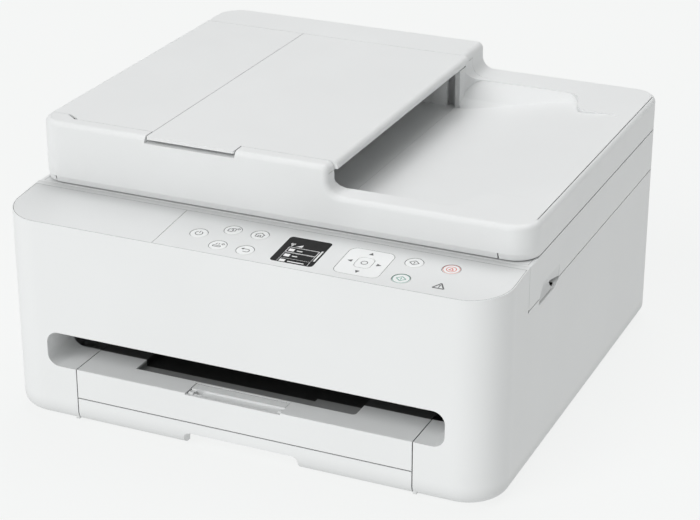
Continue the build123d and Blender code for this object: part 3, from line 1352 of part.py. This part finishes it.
with BuildPart() as feeder_frame:
    outline = plan_outline(level(base_bottom), left + wall + fit_gap, right - wall - fit_gap,
                           lid_front + wall + 0.8, base_rear, lid_front_corner - wall - 1.0, 0)
    extrude(outline, amount=base_top - base_bottom)
    for y0 in (cheek_front, cheek_rear):
        block(cheek_x0, cheek_x1, y0, y0 + cheek_thickness, base_top - 1, ramp_top + 9)
    block(ramp_x0, ramp_x1, cheek_front + 1, cheek_rear + 1, ramp_bottom, ramp_top)
    # Rib that stiffens the open end of the rear cheek
    block(cheek_x1 - cheek_rib, cheek_x1, cheek_rear - 1.5, cheek_rear + 1, base_top - 1, ramp_bottom + 1)
    # Paper exit floor that leads to the output recess
    block(left + 128, bay_x1 - 0.5, cheek_front + 1, cheek_rear + 1, base_top - 1, trough_floor - 0.4)
    for x, y, top in post_places:
        rod_along_z(base_top - 1, top, x, y, 3.0)
    # Slot over the strip of glass, and the bores of the two rollers
    block(strip_x0 + 1, strip_x1 - 1, glass_y - glass_half_y + 10, glass_y + glass_half_y - 10,
          base_bottom - 1, base_top + 1, mode=Mode.SUBTRACT)
    rod_along_y(cheek_front - 1, cheek_rear + 4, document_roller_x, document_roller_z,
                document_shaft_radius + shaft_gap, mode=Mode.SUBTRACT)
    rod_along_y(cheek_front - 1, cheek_rear + 4, turn_roller_x, turn_roller_z,
                turn_shaft_radius + shaft_gap, mode=Mode.SUBTRACT)
save(feeder_frame, "feeder_frame")

with BuildPart() as platen_pad:
    block(window_x0 + 2, window_x1 - 1.5, glass_y - window_half_y + 1.5, glass_y + window_half_y - 1.5,
          glass_top + fit_gap, base_bottom)
    chamfer(platen_pad.edges().filter_by(Axis.Z), 2.0)
save(platen_pad, "platen_pad")

with BuildPart() as feeder_pickup_roller:
    rod_along_y(cheek_front, cheek_rear + cheek_thickness, document_roller_x, document_roller_z,
                document_shaft_radius)
    rod_along_y(glass_y - 22, glass_y + 22, document_roller_x, document_roller_z, document_roller_radius)
save(feeder_pickup_roller, "feeder_pickup_roller")

with BuildPart() as feeder_turn_roller:
    rod_along_y(cheek_front, cheek_rear + cheek_thickness, turn_roller_x, turn_roller_z, turn_shaft_radius)
    for y in (glass_y - glass_half_y + 56, glass_y, glass_y + glass_half_y - 56):
        rod_along_y(y - 16, y + 16, turn_roller_x, turn_roller_z, turn_roller_radius)
save(feeder_turn_roller, "feeder_turn_roller")

document_guide_y = glass_half_y - 9.0
document_guide_x0 = left + 98.0
document_guide_x1 = hump_x - 63.0
for side, guide_name in ((-1, "front_document_guide"), (1, "rear_document_guide")):
    with BuildPart() as document_guide:
        y = glass_y + side * document_guide_y
        block(document_guide_x0, document_guide_x1, y - 1, y + 1, ramp_top + guide_gap, ramp_top + 9)
        inner = y - side * 12
        block(document_guide_x0 + 8, document_guide_x1 - 8, min(y, inner), max(y, inner),
              ramp_top + guide_gap, ramp_top + 1.4)
    save(document_guide, guide_name)


# Feeder cover: top and left side in one, with a square lower edge that swings round the hinge

step_gap = 3.0
step_rim = 1.2
with BuildPart() as feeder_cover:
    cover_right = cover_edge_x - cover_gap / 2
    with BuildSketch(upright(bay_front + cover_gap)):
        with BuildLine():
            Polyline((cover_right, height - wall), (cover_right, height), (left + top_round, height))
            CenterArc((left + top_round, height - top_round), top_round, 90, 90)
            Polyline((left, height - top_round), (left, cover_axis_z - cover_round),
                     (left + wall, cover_axis_z - cover_round), (left + wall, height - wall),
                     (cover_right, height - wall))
        make_face()
    extrude(amount=-(bay_rear - bay_front - 2 * cover_gap))
    # Step in the front edge near the left end, with a wide gap beside it
    with BuildSketch(level(cover_axis_z - 2 * cover_round)):
        with BuildLine():
            Polyline((left - 1, bay_front), (bay_jog_x1 + step_gap, bay_front),
                     (bay_jog_x1 + step_gap, bay_front + cover_gap),
                     (bay_jog_x0 + step_gap, bay_front + bay_jog + cover_gap),
                     (left - 1, bay_front + bay_jog + cover_gap), close=True)
        make_face()
    extrude(amount=height, mode=Mode.SUBTRACT)
    # Thin rim beside the step, so that it clears the housing as the cover opens
    block(left + wall, bay_jog_x1 + 4 * step_gap, bay_front, bay_front + bay_jog + cover_gap,
          cover_axis_z, height - step_rim, mode=Mode.SUBTRACT)
    # End discs with the hinge pins
    cover_front = bay_front + bay_jog + cover_gap
    cover_rear = bay_rear - cover_gap
    for y0 in (cover_front, cover_rear - 3):
        rod_along_y(y0, y0 + 3, cover_axis_x, cover_axis_z, cover_round)
    rod_along_y(cover_front - 1.9, cover_front + 3, cover_axis_x, cover_axis_z, cover_pin_radius)
    rod_along_y(cover_rear - 3, cover_rear + 1.9, cover_axis_x, cover_axis_z, cover_pin_radius)
save(feeder_cover, "feeder_cover")


# Document tray: a plate with a rounded nose along its hinge and a lip over the finger notch

with BuildPart() as document_tray:
    tray_front = bay_front + cover_gap
    tray_rear = bay_rear - cover_gap
    with BuildSketch(upright(tray_front)):
        with BuildLine():
            Polyline((nose_x - nose_round, height), (cover_edge_x + cover_gap / 2, height),
                     (cover_edge_x + cover_gap / 2, height - wall), (tray_axis_x - tray_barrel, height - wall),
                     (tray_axis_x - tray_barrel, tray_axis_z))
            CenterArc((tray_axis_x, tray_axis_z), tray_barrel, 180, 90)
            Polyline((tray_axis_x, tray_axis_z - tray_barrel), (nose_x - wall, nose_bottom),
                     (nose_x, nose_bottom), (nose_x, height - nose_round))
            CenterArc((nose_x - nose_round, height - nose_round), nose_round, 0, 90)
        make_face()
    extrude(amount=-(tray_rear - tray_front))
    block(lip_x0, lip_x1, lid_front + 1, tray_front + 1, height - lip_thickness, height)
    fillet(document_tray.edges().filter_by(Axis.Z).filter_by(
        lambda edge: abs(edge.center().Y - lid_front - 1) < 0.1), 1.5)
    rod_along_y(tray_front - 1.9, tray_rear + 1.9, tray_axis_x, tray_axis_z, tray_pin_radius)
save(document_tray, "document_tray")
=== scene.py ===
"""Looks of a multifunction inkjet printer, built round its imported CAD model. Units are metres."""
import json
import math

import bmesh
import bpy
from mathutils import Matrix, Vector


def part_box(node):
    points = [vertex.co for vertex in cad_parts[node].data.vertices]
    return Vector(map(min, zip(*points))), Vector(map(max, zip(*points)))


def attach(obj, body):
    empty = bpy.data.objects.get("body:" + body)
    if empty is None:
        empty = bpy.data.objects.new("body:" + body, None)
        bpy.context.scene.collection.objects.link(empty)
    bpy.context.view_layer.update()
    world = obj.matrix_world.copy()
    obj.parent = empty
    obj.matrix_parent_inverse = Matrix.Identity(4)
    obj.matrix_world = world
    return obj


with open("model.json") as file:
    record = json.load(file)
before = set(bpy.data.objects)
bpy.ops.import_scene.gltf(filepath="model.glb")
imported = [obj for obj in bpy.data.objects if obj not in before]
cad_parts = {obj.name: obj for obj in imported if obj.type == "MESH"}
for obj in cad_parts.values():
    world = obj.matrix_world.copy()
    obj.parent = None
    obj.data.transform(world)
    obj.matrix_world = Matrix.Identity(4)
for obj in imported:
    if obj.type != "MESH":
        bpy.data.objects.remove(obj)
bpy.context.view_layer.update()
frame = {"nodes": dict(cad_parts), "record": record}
nodes = frame["nodes"]

# Place of the panel, which the printed symbols follow

MM = 0.001
PANEL_TILT = math.radians(5.0)
PANEL_FRONT = Vector((0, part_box("base_housing")[0].y, 154.0 * MM))
ACROSS = Vector((1, 0, 0))
UP_SLOPE = Vector((0, math.cos(PANEL_TILT), math.sin(PANEL_TILT)))
OUT = Vector((0, -math.sin(PANEL_TILT), math.cos(PANEL_TILT)))
PRINT_LIFT = 0.04

# Lengths over which painted shade darkens the plastics

SEAM_REACH = 2.0 * MM
FLOOR_SHADE_TOP = 18.0 * MM
TRAY_SHADOW_START = 34.0 * MM
TRAY_SHADE_REACH = 70.0 * MM
POCKET_START = 17.0 * MM
POCKET_DEPTH = 2.4 * MM
LID_SHADE_REACH = 24.0 * MM
PANEL_LEVEL = 150.0 * MM


# Materials

def new_material(name, base, roughness, metallic=0.0):
    """A material with one Principled shader, and its node tree and shader to build on."""
    material = bpy.data.materials.new(name)
    material.use_nodes = True
    tree = material.node_tree
    shader = tree.nodes["Principled BSDF"]
    shader.inputs["Base Color"].default_value = (*base, 1)
    shader.inputs["Roughness"].default_value = roughness
    shader.inputs["Metallic"].default_value = metallic
    return material, tree, shader


def noise(tree, scale, detail=3.0):
    """A noise texture in object coordinates, at a scale in repeats per metre."""
    place = tree.nodes.new("ShaderNodeTexCoord")
    texture = tree.nodes.new("ShaderNodeTexNoise")
    texture.inputs["Scale"].default_value = scale
    texture.inputs["Detail"].default_value = detail
    tree.links.new(place.outputs["Object"], texture.inputs["Vector"])
    return texture


def vary_colour(tree, shader, base, spread, scale):
    """Let the colour drift by a small share over large soft patches."""
    patches = noise(tree, scale, 2.0)
    ramp = tree.nodes.new("ShaderNodeValToRGB")
    ramp.color_ramp.elements[0].position = 0.35
    ramp.color_ramp.elements[1].position = 0.65
    ramp.color_ramp.elements[0].color = (*[channel * (1 - spread) for channel in base], 1)
    ramp.color_ramp.elements[1].color = (*[min(1, channel * (1 + spread)) for channel in base], 1)
    tree.links.new(patches.outputs["Fac"], ramp.inputs["Fac"])
    tree.links.new(ramp.outputs["Color"], shader.inputs["Base Color"])


def vary_roughness(tree, shader, low, high, scale):
    """Let the roughness drift between two values."""
    patches = noise(tree, scale, 3.0)
    roughness = map_range(tree, patches.outputs["Fac"], 0.0, 1.0, low, high)
    tree.links.new(roughness, shader.inputs["Roughness"])


def add_grain(tree, shader, scale, depth, strength=0.6):
    """Fine moulded grain as bump, with a depth in metres."""
    grain = noise(tree, scale, 4.0)
    bump = tree.nodes.new("ShaderNodeBump")
    bump.inputs["Distance"].default_value = depth
    bump.inputs["Strength"].default_value = strength
    tree.links.new(grain.outputs["Fac"], bump.inputs["Height"])
    tree.links.new(bump.outputs["Normal"], shader.inputs["Normal"])


def scale_colour(tree, shader, factor):
    """Multiply what feeds the base colour by a factor socket."""
    source = shader.inputs["Base Color"].links[0].from_socket
    mix = tree.nodes.new("ShaderNodeVectorMath")
    mix.operation = "SCALE"
    tree.links.new(source, mix.inputs[0])
    tree.links.new(factor, mix.inputs["Scale"])
    tree.links.new(mix.outputs["Vector"], shader.inputs["Base Color"])


def map_range(tree, value, low, high, result_low, result_high, smooth=False):
    """Map a value from one range to another, held at both ends."""
    spread = tree.nodes.new("ShaderNodeMapRange")
    if smooth:
        spread.interpolation_type = "SMOOTHSTEP"
    spread.inputs["From Min"].default_value = low
    spread.inputs["From Max"].default_value = high
    spread.inputs["To Min"].default_value = result_low
    spread.inputs["To Max"].default_value = result_high
    tree.links.new(value, spread.inputs["Value"])
    return spread.outputs["Result"]


def near_others(tree, reach, open_low, open_high, depth):
    """A share that falls by a depth where other surfaces lie closer than a reach."""
    closeness = tree.nodes.new("ShaderNodeAmbientOcclusion")
    closeness.samples = 16
    closeness.inputs["Distance"].default_value = reach
    return map_range(tree, closeness.outputs["AO"], open_low, open_high, 1 - depth, 1.0)


def along(tree, axis, start, end, low, high):
    """A share that changes softly along one axis of the object, between two places on it."""
    place = tree.nodes.new("ShaderNodeTexCoord")
    split = tree.nodes.new("ShaderNodeSeparateXYZ")
    tree.links.new(place.outputs["Object"], split.inputs["Vector"])
    return map_range(tree, split.outputs[axis], start, end, low, high, smooth=True)


def lighter_of(tree, first, second):
    """The larger of two shares."""
    larger = tree.nodes.new("ShaderNodeMath")
    larger.operation = "MAXIMUM"
    tree.links.new(first, larger.inputs[0])
    tree.links.new(second, larger.inputs[1])
    return larger.outputs["Value"]


def plastic(name, base, roughness, grain_scale=1400, grain_depth=0.00003, spread=0.01):
    """Moulded plastic with a fine grain, slight colour drift, uneven gloss and painted shade in
    seams and gaps between parts.
    """
    material, tree, shader = new_material(name, base, roughness)
    vary_colour(tree, shader, base, spread, 9)
    # Painted shade: the colour darkens where other surfaces lie close, in seams, gaps and tight
    # corners.
    scale_colour(tree, shader, near_others(tree, SEAM_REACH, 0.1, 0.36, 0.97))
    vary_roughness(tree, shader, roughness - 0.05, roughness + 0.05, 60)
    add_grain(tree, shader, grain_scale, grain_depth)
    return material


def metal(name, base, roughness, grain_scale=300):
    """Plain or zinc-coated metal with uneven gloss."""
    material, tree, shader = new_material(name, base, roughness, 1.0)
    vary_colour(tree, shader, base, 0.08, grain_scale)
    vary_roughness(tree, shader, roughness - 0.08, roughness + 0.1, grain_scale)
    add_grain(tree, shader, grain_scale * 2, 0.00001)
    return material


def rubber(name, base, roughness):
    """Dull rubber with a fine, ground surface."""
    material, tree, shader = new_material(name, base, roughness)
    vary_colour(tree, shader, base, 0.15, 120)
    vary_roughness(tree, shader, roughness - 0.06, roughness + 0.06, 200)
    add_grain(tree, shader, 2600, 0.00005)
    return material


def clear_glass(name):
    """Thin clear glass with a faint green tint and a trace of dust."""
    material, tree, shader = new_material(name, (0.9, 0.96, 0.93), 0.03)
    vary_roughness(tree, shader, 0.02, 0.06, 40)
    shader.inputs["Transmission Weight"].default_value = 0.9
    shader.inputs["IOR"].default_value = 1.5
    return material


def glossy_cover(name, base):
    """Polished plastic window over a display, with slightly uneven gloss."""
    material, tree, shader = new_material(name, base, 0.2)
    vary_colour(tree, shader, base, 0.1, 30)
    vary_roughness(tree, shader, 0.16, 0.24, 25)
    shader.inputs["IOR"].default_value = 1.2
    return material


def ink(name, colour, roughness=0.5):
    """Printed ink with slightly uneven cover."""
    material, tree, shader = new_material(name, colour, roughness)
    vary_colour(tree, shader, colour, 0.05, 900)
    return material


def board(name, base):
    """Lacquered circuit board: copper tracks show as a fine pattern under the lacquer."""
    material, tree, shader = new_material(name, base, 0.35)
    place = tree.nodes.new("ShaderNodeTexCoord")
    tracks = tree.nodes.new("ShaderNodeTexBrick")
    tracks.inputs["Scale"].default_value = 90
    tracks.inputs["Color1"].default_value = (*base, 1)
    tracks.inputs["Color2"].default_value = (*[channel * 0.8 for channel in base], 1)
    tracks.inputs["Mortar"].default_value = (*[min(1, channel * 1.8) for channel in base], 1)
    tree.links.new(place.outputs["Object"], tracks.inputs["Vector"])
    tree.links.new(tracks.outputs["Color"], shader.inputs["Base Color"])
    return material


def casing(name):
    """The machine's white plastic, with painted shade that darkens it a little toward the floor."""
    material = plastic(name, (0.80, 0.81, 0.81), 0.5)
    tree = material.node_tree
    shader = tree.nodes["Principled BSDF"]
    shader.inputs["Specular IOR Level"].default_value = 0.4
    # Painted shade: the colour darkens over the lowest few centimetres, toward the floor.
    scale_colour(tree, shader, along(tree, "Z", 2.0 * MM, FLOOR_SHADE_TOP, 0.8, 1.0))
    return material


def base_plastic():
    """The lower casing's plastic, with a painted shadow round the panel where the lid stands over
    it.
    """
    material = casing("base_plastic")
    tree = material.node_tree
    # Painted shadow of the lid, kept to the parts above the panel's level.
    lid_shadow = near_others(tree, LID_SHADE_REACH, 0.4, 0.95, 0.55)
    below_panel = along(tree, "Z", PANEL_LEVEL, PANEL_LEVEL + MM, 1.0, 0.0)
    scale_colour(tree, tree.nodes["Principled BSDF"], lighter_of(tree, lid_shadow, below_panel))
    return material


def panel_plastic():
    """The panel's plastic, with a painted shadow that darkens it toward the lid that stands over its
    rear edge.
    """
    material = plastic("panel_plastic", (0.71, 0.72, 0.72), 0.45)
    tree = material.node_tree
    shader = tree.nodes["Principled BSDF"]
    shader.inputs["Specular IOR Level"].default_value = 0.4
    # Painted shadow of the lid on the panel.
    scale_colour(tree, shader, near_others(tree, LID_SHADE_REACH, 0.4, 0.95, 0.55))
    return material


def tray_plastic():
    """The casing's plastic with painted shade in the pocket, a painted shadow over the rear part and
    painted shade where it is covered.
    """
    material = casing("tray_plastic")
    tree = material.node_tree
    shader = tree.nodes["Principled BSDF"]
    low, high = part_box("output_tray")
    shadow_start = low.y + TRAY_SHADOW_START
    # Painted shade in the pocket, where the tray lies below its top face.
    above_pocket = along(tree, "Z", high.z - POCKET_DEPTH, high.z - 0.2 * MM, 0.33, 1.0)
    before_pocket = along(tree, "Y", low.y + POCKET_START, low.y + POCKET_START + MM, 1.0, 0.0)
    scale_colour(tree, shader, lighter_of(tree, above_pocket, before_pocket))
    # Painted shadow: the rear part, which lies inside the machine, is nearly black.
    scale_colour(tree, shader, along(tree, "Y", shadow_start, shadow_start + MM, 1.0, 0.06))
    # Painted shade where other parts cover the tray.
    scale_colour(tree, shader, near_others(tree, TRAY_SHADE_REACH, 0.0, 0.22, 0.9))
    return material


LOOKS = {
    "casing": casing("casing_plastic"),
    "panel": panel_plastic(),
    "button": plastic("button_plastic", (0.80, 0.81, 0.81), 0.4, 2000, 0.00001),
    "display": glossy_cover("display_window_plastic", (0.009, 0.009, 0.0095)),
    "dark_plastic": plastic("dark_plastic", (0.012, 0.012, 0.013), 0.5, spread=0.1),
    "cartridge_color": plastic("cartridge_plastic", (0.03, 0.03, 0.035), 0.35, spread=0.1),
    "gray_plastic": plastic("gray_plastic", (0.12, 0.12, 0.125), 0.5, spread=0.05),
    "sheet_metal": metal("zinc_coated_sheet", (0.55, 0.56, 0.57), 0.38, 60),
    "motor_metal": metal("motor_steel", (0.5, 0.5, 0.51), 0.35),
    "rail_metal": metal("polished_rail", (0.62, 0.62, 0.63), 0.2),
    "rubber": rubber("black_rubber", (0.012, 0.012, 0.013), 0.8),
    "circuit_board": board("lacquered_board", (0.01, 0.06, 0.02)),
    "glass": clear_glass("platen_glass"),
    "pad_foam": plastic("pad_sheet", (0.8, 0.8, 0.79), 0.7, 700, 0.00008),
}

for part in frame["record"]["subparts"]:
    node = nodes[part["node"]]
    node.data.materials.clear()
    node.data.materials.append(LOOKS[part["material_slot"]])

for name, material in (("output_tray", tray_plastic()), ("base_housing", base_plastic())):
    nodes[name].data.materials.clear()
    nodes[name].data.materials.append(material)


# Printed symbols: flat shapes that lie just above the panel and the buttons

def on_panel(x, up):
    """Place of a point on the panel, from millimetres to the right and up the slope."""
    return PANEL_FRONT + (ACROSS * x + UP_SLOPE * up + OUT * PRINT_LIFT) * MM


def print_flat(name, shapes, material, body):
    """One mesh of flat filled shapes, each a list of (x, up) corners in order, riding on a body."""
    mesh = bmesh.new()
    for corners in shapes:
        points = [mesh.verts.new(on_panel(x, up)) for x, up in corners]
        mesh.faces.new(points)
    mesh.normal_update()
    for face in mesh.faces:
        if face.normal.dot(OUT) < 0:
            face.normal_flip()
    data = bpy.data.meshes.new(name)
    mesh.to_mesh(data)
    mesh.free()
    data.materials.append(material)
    piece = bpy.data.objects.new(name, data)
    bpy.context.scene.collection.objects.link(piece)
    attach(piece, body)


def bar(x0, y0, x1, y1, thickness):
    """A straight printed stroke between two points."""
    along = Vector((x1 - x0, y1 - y0)).normalized()
    side = Vector((-along.y, along.x)) * thickness / 2
    return [(x0 + side.x, y0 + side.y), (x0 - side.x, y0 - side.y),
            (x1 - side.x, y1 - side.y), (x1 + side.x, y1 + side.y)]


def path(points, thickness, closed=False):
    """Printed strokes that follow a line of points."""
    pairs = list(zip(points, points[1:]))
    if closed:
        pairs.append((points[-1], points[0]))
    return [bar(a[0], a[1], b[0], b[1], thickness) for a, b in pairs]


def arc(x, y, radius, start, end, steps=24):
    """Points along an arc, with angles in degrees."""
    angles = [math.radians(start + (end - start) * step / steps) for step in range(steps + 1)]
    return [(x + radius * math.cos(a), y + radius * math.sin(a)) for a in angles]


def box_shape(x0, y0, x1, y1):
    """A filled rectangle."""
    return [(x0, y0), (x1, y0), (x1, y1), (x0, y1)]


GRAY_INK = ink("gray_ink", (0.09, 0.09, 0.092))
GREEN_INK = ink("green_ink", (0.07, 0.33, 0.25))
RED_INK = ink("red_ink", (0.70, 0.16, 0.12))
WHITE_INK = ink("white_ink", (0.8, 0.8, 0.8))
STROKE = 0.6
RING = 5.7
POWER = (-40.0, 24.7)
COPY = (-19.8, 36.5)
HOME = (0.8, 36.5)
SCAN = (-19.8, 13.6)
BACK = (0.8, 13.6)
START_BLACK = (114.5, 36.5)
START_COLOR = (114.5, 13.6)
STOP = (140.8, 36.5)
PAD = (83.4, 25.0)
WARNING = (141.8, 13.2)
DISPLAY = (21.65, 42.35)
DISPLAY_WIDTH = 31.5
DISPLAY_LENGTH = 35.3


def power_symbol():
    """A broken ring with an upright stroke."""
    x, y = POWER
    return path(arc(x, y, 2.6, 120, 420), STROKE) + [bar(x, y + 0.4, x, y + 3.4, STROKE)]


def small_diamond(x, y):
    """The outline of a small diamond."""
    return path([(x - 1.1, y), (x, y + 1.1), (x + 1.1, y), (x, y - 1.1)], 0.5, True)


def pages_symbol(x, y):
    """Two overlapping sheets with a small diamond beside them."""
    near_sheet = [(x - 3.2, y - 2.2), (x, y - 2.2), (x, y + 1.2), (x - 3.2, y + 1.2)]
    far_sheet = [(x, y - 1.0), (x + 1.8, y - 1.0), (x + 1.8, y + 2.4), (x - 1.4, y + 2.4),
                 (x - 1.4, y + 1.2)]
    return path(near_sheet, STROKE, True) + path(far_sheet, STROKE) + small_diamond(x + 3.3, y + 2.6)


def house_symbol(x, y):
    """A small house."""
    roof = [(x - 3.6, y + 0.2), (x, y + 3.0), (x + 3.6, y + 0.2)]
    walls = [(x - 2.7, y + 0.6), (x - 2.7, y - 2.6), (x + 2.7, y - 2.6), (x + 2.7, y + 0.6)]
    door = [(x - 0.9, y - 2.6), (x - 0.9, y - 0.4), (x + 0.9, y - 0.4), (x + 0.9, y - 2.6)]
    return path(roof, STROKE) + path(walls, STROKE) + path(door, STROKE)


def rays_symbol(x, y):
    """A sheet with light falling on it."""
    sheet = [(x - 3.2, y - 2.2), (x + 2.4, y - 2.2), (x + 2.4, y - 0.6), (x - 3.2, y - 0.6)]
    rays = [bar(x - 2.0, y + 0.8, x - 1.4, y + 2.6, STROKE),
            bar(x + 0.2, y + 0.8, x + 0.2, y + 2.8, STROKE)]
    return path(sheet, STROKE, True) + rays + small_diamond(x + 2.9, y + 2.2)


def return_symbol(x, y):
    """A bent arrow that points to the left."""
    return (path([(x - 2.2, y + 1.4), (x + 1.4, y + 1.4)] + arc(x + 1.4, y - 0.4, 1.8, 90, -90, 12)
                 + [(x - 1.0, y - 2.2)], STROKE)
            + [[(x - 3.6, y + 1.4), (x - 1.6, y + 0.1), (x - 1.6, y + 2.7)]])


def start_symbol(x, y):
    """A diamond with an upright stroke in it."""
    return (path([(x - 3.4, y), (x, y + 2.8), (x + 3.4, y), (x, y - 2.8)], STROKE, True)
            + [bar(x, y + 1.3, x, y - 1.3, STROKE)])


def stop_symbol(x, y):
    """A ring with a triangle in it."""
    return (path(arc(x, y, 3.3, 0, 360), STROKE)
            + path([(x - 1.6, y - 1.2), (x + 1.6, y - 1.2), (x, y + 1.7)], 0.7, True))


def ring(x, y):
    """A thin coloured ring near a button's edge."""
    return path(arc(x, y, RING, 0, 360, 48), 0.4)


def warning_symbol(x, y):
    """A triangle with a stroke and a dot."""
    return (path([(x - 4.0, y - 3.2), (x + 4.0, y - 3.2), (x, y + 3.6)], 1.0, True)
            + [bar(x, y + 1.4, x, y - 0.9, 0.9), box_shape(x - 0.45, y - 2.2, x + 0.45, y - 1.4)])


def pad_arrows():
    """Four small triangles, one on each side of the pad."""
    x, y = PAD
    reach = 12.9
    across = 10.6
    half = 1.7
    return [
        [(x - half, y + reach - half), (x + half, y + reach - half), (x, y + reach + half)],
        [(x + half, y - reach + half), (x - half, y - reach + half), (x, y - reach - half)],
        [(x - across + half, y + half), (x - across - half, y), (x - across + half, y - half)],
        [(x + across - half, y - half), (x + across + half, y), (x + across - half, y + half)],
    ]


print_flat("power_mark", power_symbol(), GRAY_INK, "power_button")
print_flat("copy_mark", pages_symbol(*COPY), GRAY_INK, "copy_button")
print_flat("home_mark", house_symbol(*HOME), GRAY_INK, "home_button")
print_flat("scan_mark", rays_symbol(*SCAN), GRAY_INK, "scan_button")
print_flat("back_mark", return_symbol(*BACK), GRAY_INK, "back_button")
print_flat("start_black_mark", start_symbol(*START_BLACK), GRAY_INK, "start_black_button")
print_flat("start_color_mark", start_symbol(*START_COLOR) + ring(*START_COLOR), GREEN_INK,
           "start_color_button")
print_flat("stop_mark", stop_symbol(*STOP) + ring(*STOP), RED_INK, "stop_button")
print_flat("warning_mark", warning_symbol(*WARNING), GRAY_INK, "machine")
print_flat("pad_marks", pad_arrows(), GRAY_INK, "navigation_pad")
print_flat("ok_mark", path(arc(*PAD, 2.2, 0, 360), STROKE), GRAY_INK, "ok_button")


# The lit display: a list of generic rows with a status line and a scroll bar

def screen(across, down):
    """A point on the display's window, from shares of its width and of its length."""
    return DISPLAY[0] + DISPLAY_WIDTH * across, DISPLAY[1] - DISPLAY_LENGTH * down


def screen_box(x0, y0, x1, y1):
    """A filled rectangle on the display."""
    return [screen(x0, y0), screen(x1, y0), screen(x1, y1), screen(x0, y1)]


def display_rows():
    """White shapes that stand for three list rows, a status line and a scroll bar."""
    rows = []
    row_pitch = 0.215
    for row, words in enumerate((0.13, 0.12, 0.38)):
        top = 0.405 + row * row_pitch
        low = min(top + row_pitch - 0.02, 0.985)
        rows += path([screen(0.17, low), screen(0.17, top), screen(0.88, top), screen(0.88, low)],
                     0.45 if row == 0 else 0.25, row == 0)
        rows.append(screen_box(0.21, top + 0.05, 0.34, min(top + 0.15, 0.975)))
        rows.append(screen_box(0.40, top + 0.09, 0.40 + words, top + 0.12))
    # Aerial and level beside it
    rows += path([screen(0.15, 0.26), screen(0.25, 0.26), screen(0.20, 0.35)], 0.5, True)
    rows.append(bar(*screen(0.20, 0.28), *screen(0.20, 0.37), 0.6))
    rows.append([screen(0.30, 0.36), screen(0.44, 0.27), screen(0.44, 0.36)])
    rows.append(bar(*screen(0.935, 0.36), *screen(0.935, 0.78), 1.2))
    return rows


print_flat("display_marks", display_rows(), WHITE_INK, "machine")


# Camera, floor and light

LENS = 105.76
CAMERA_PLACE = Vector((0.5820, -1.2934, 0.7110))
CAMERA_TARGET = Vector((0.00813, -0.0095, 0.08565))
FLOOR_REACH = 12.0
FLOOR_COLOUR = (0.1, 0.101, 0.1)
FLOOR_GLOW = 0.82
FRONT_GLOW = 0.55
REAR_GLOW = 0.08

camera_data = bpy.data.cameras.new("camera")
camera_data.lens = LENS
camera_data.clip_start = 0.05
camera_data.clip_end = 30.0
camera = bpy.data.objects.new("camera", camera_data)
camera.location = CAMERA_PLACE
camera.rotation_mode = "QUATERNION"
camera.rotation_quaternion = (CAMERA_TARGET - CAMERA_PLACE).to_track_quat("-Z", "Y")
bpy.context.scene.collection.objects.link(camera)
bpy.context.scene.camera = camera

floor_data = bpy.data.meshes.new("floor")
floor_corners = [(-FLOOR_REACH, -FLOOR_REACH, 0), (FLOOR_REACH, -FLOOR_REACH, 0),
                 (FLOOR_REACH, FLOOR_REACH, 0), (-FLOOR_REACH, FLOOR_REACH, 0)]
floor_data.from_pydata(floor_corners, [], [(0, 1, 2, 3)])
floor = bpy.data.objects.new("floor", floor_data)
bpy.context.scene.collection.objects.link(floor)
floor_material, floor_tree, floor_shader = new_material("pale_floor", FLOOR_COLOUR, 0.9)
vary_colour(floor_tree, floor_shader, FLOOR_COLOUR, 0.004, 3)
floor_shader.inputs["Specular IOR Level"].default_value = 0.0
floor_shader.inputs["Emission Color"].default_value = (0.99, 1.0, 0.995, 1)
floor_shader.inputs["Emission Strength"].default_value = FLOOR_GLOW
floor_data.materials.append(floor_material)


def soft_sun(name, toward, strength, spread):
    """A broad, even studio light that comes from a direction, with its spread in degrees."""
    data = bpy.data.lights.new(name, "SUN")
    data.energy = strength
    data.angle = math.radians(spread)
    light = bpy.data.objects.new(name, data)
    light.rotation_mode = "QUATERNION"
    light.rotation_quaternion = Vector(toward).to_track_quat("Z", "Y")
    bpy.context.scene.collection.objects.link(light)


soft_sun("front_light", (-0.31, -0.80, 0.65), 1.42, 40)
soft_sun("top_light", (0.0, 0.5, 1.0), 1.50, 50)

# The room round it is brighter in front of the machine than behind it
world = bpy.data.worlds.new("studio")
world.use_nodes = True
room = world.node_tree
sky = room.nodes["Background"]
sky.inputs["Color"].default_value = (0.95, 0.96, 0.96, 1)
direction = room.nodes.new("ShaderNodeTexCoord")
split_direction = room.nodes.new("ShaderNodeSeparateXYZ")
room.links.new(direction.outputs["Generated"], split_direction.inputs["Vector"])
glow = map_range(room, split_direction.outputs["Y"], -1.0, 1.0, FRONT_GLOW, REAR_GLOW)
room.links.new(glow, sky.inputs["Strength"])
bpy.context.scene.world = world
bpy.context.scene.view_settings.view_transform = "Standard"
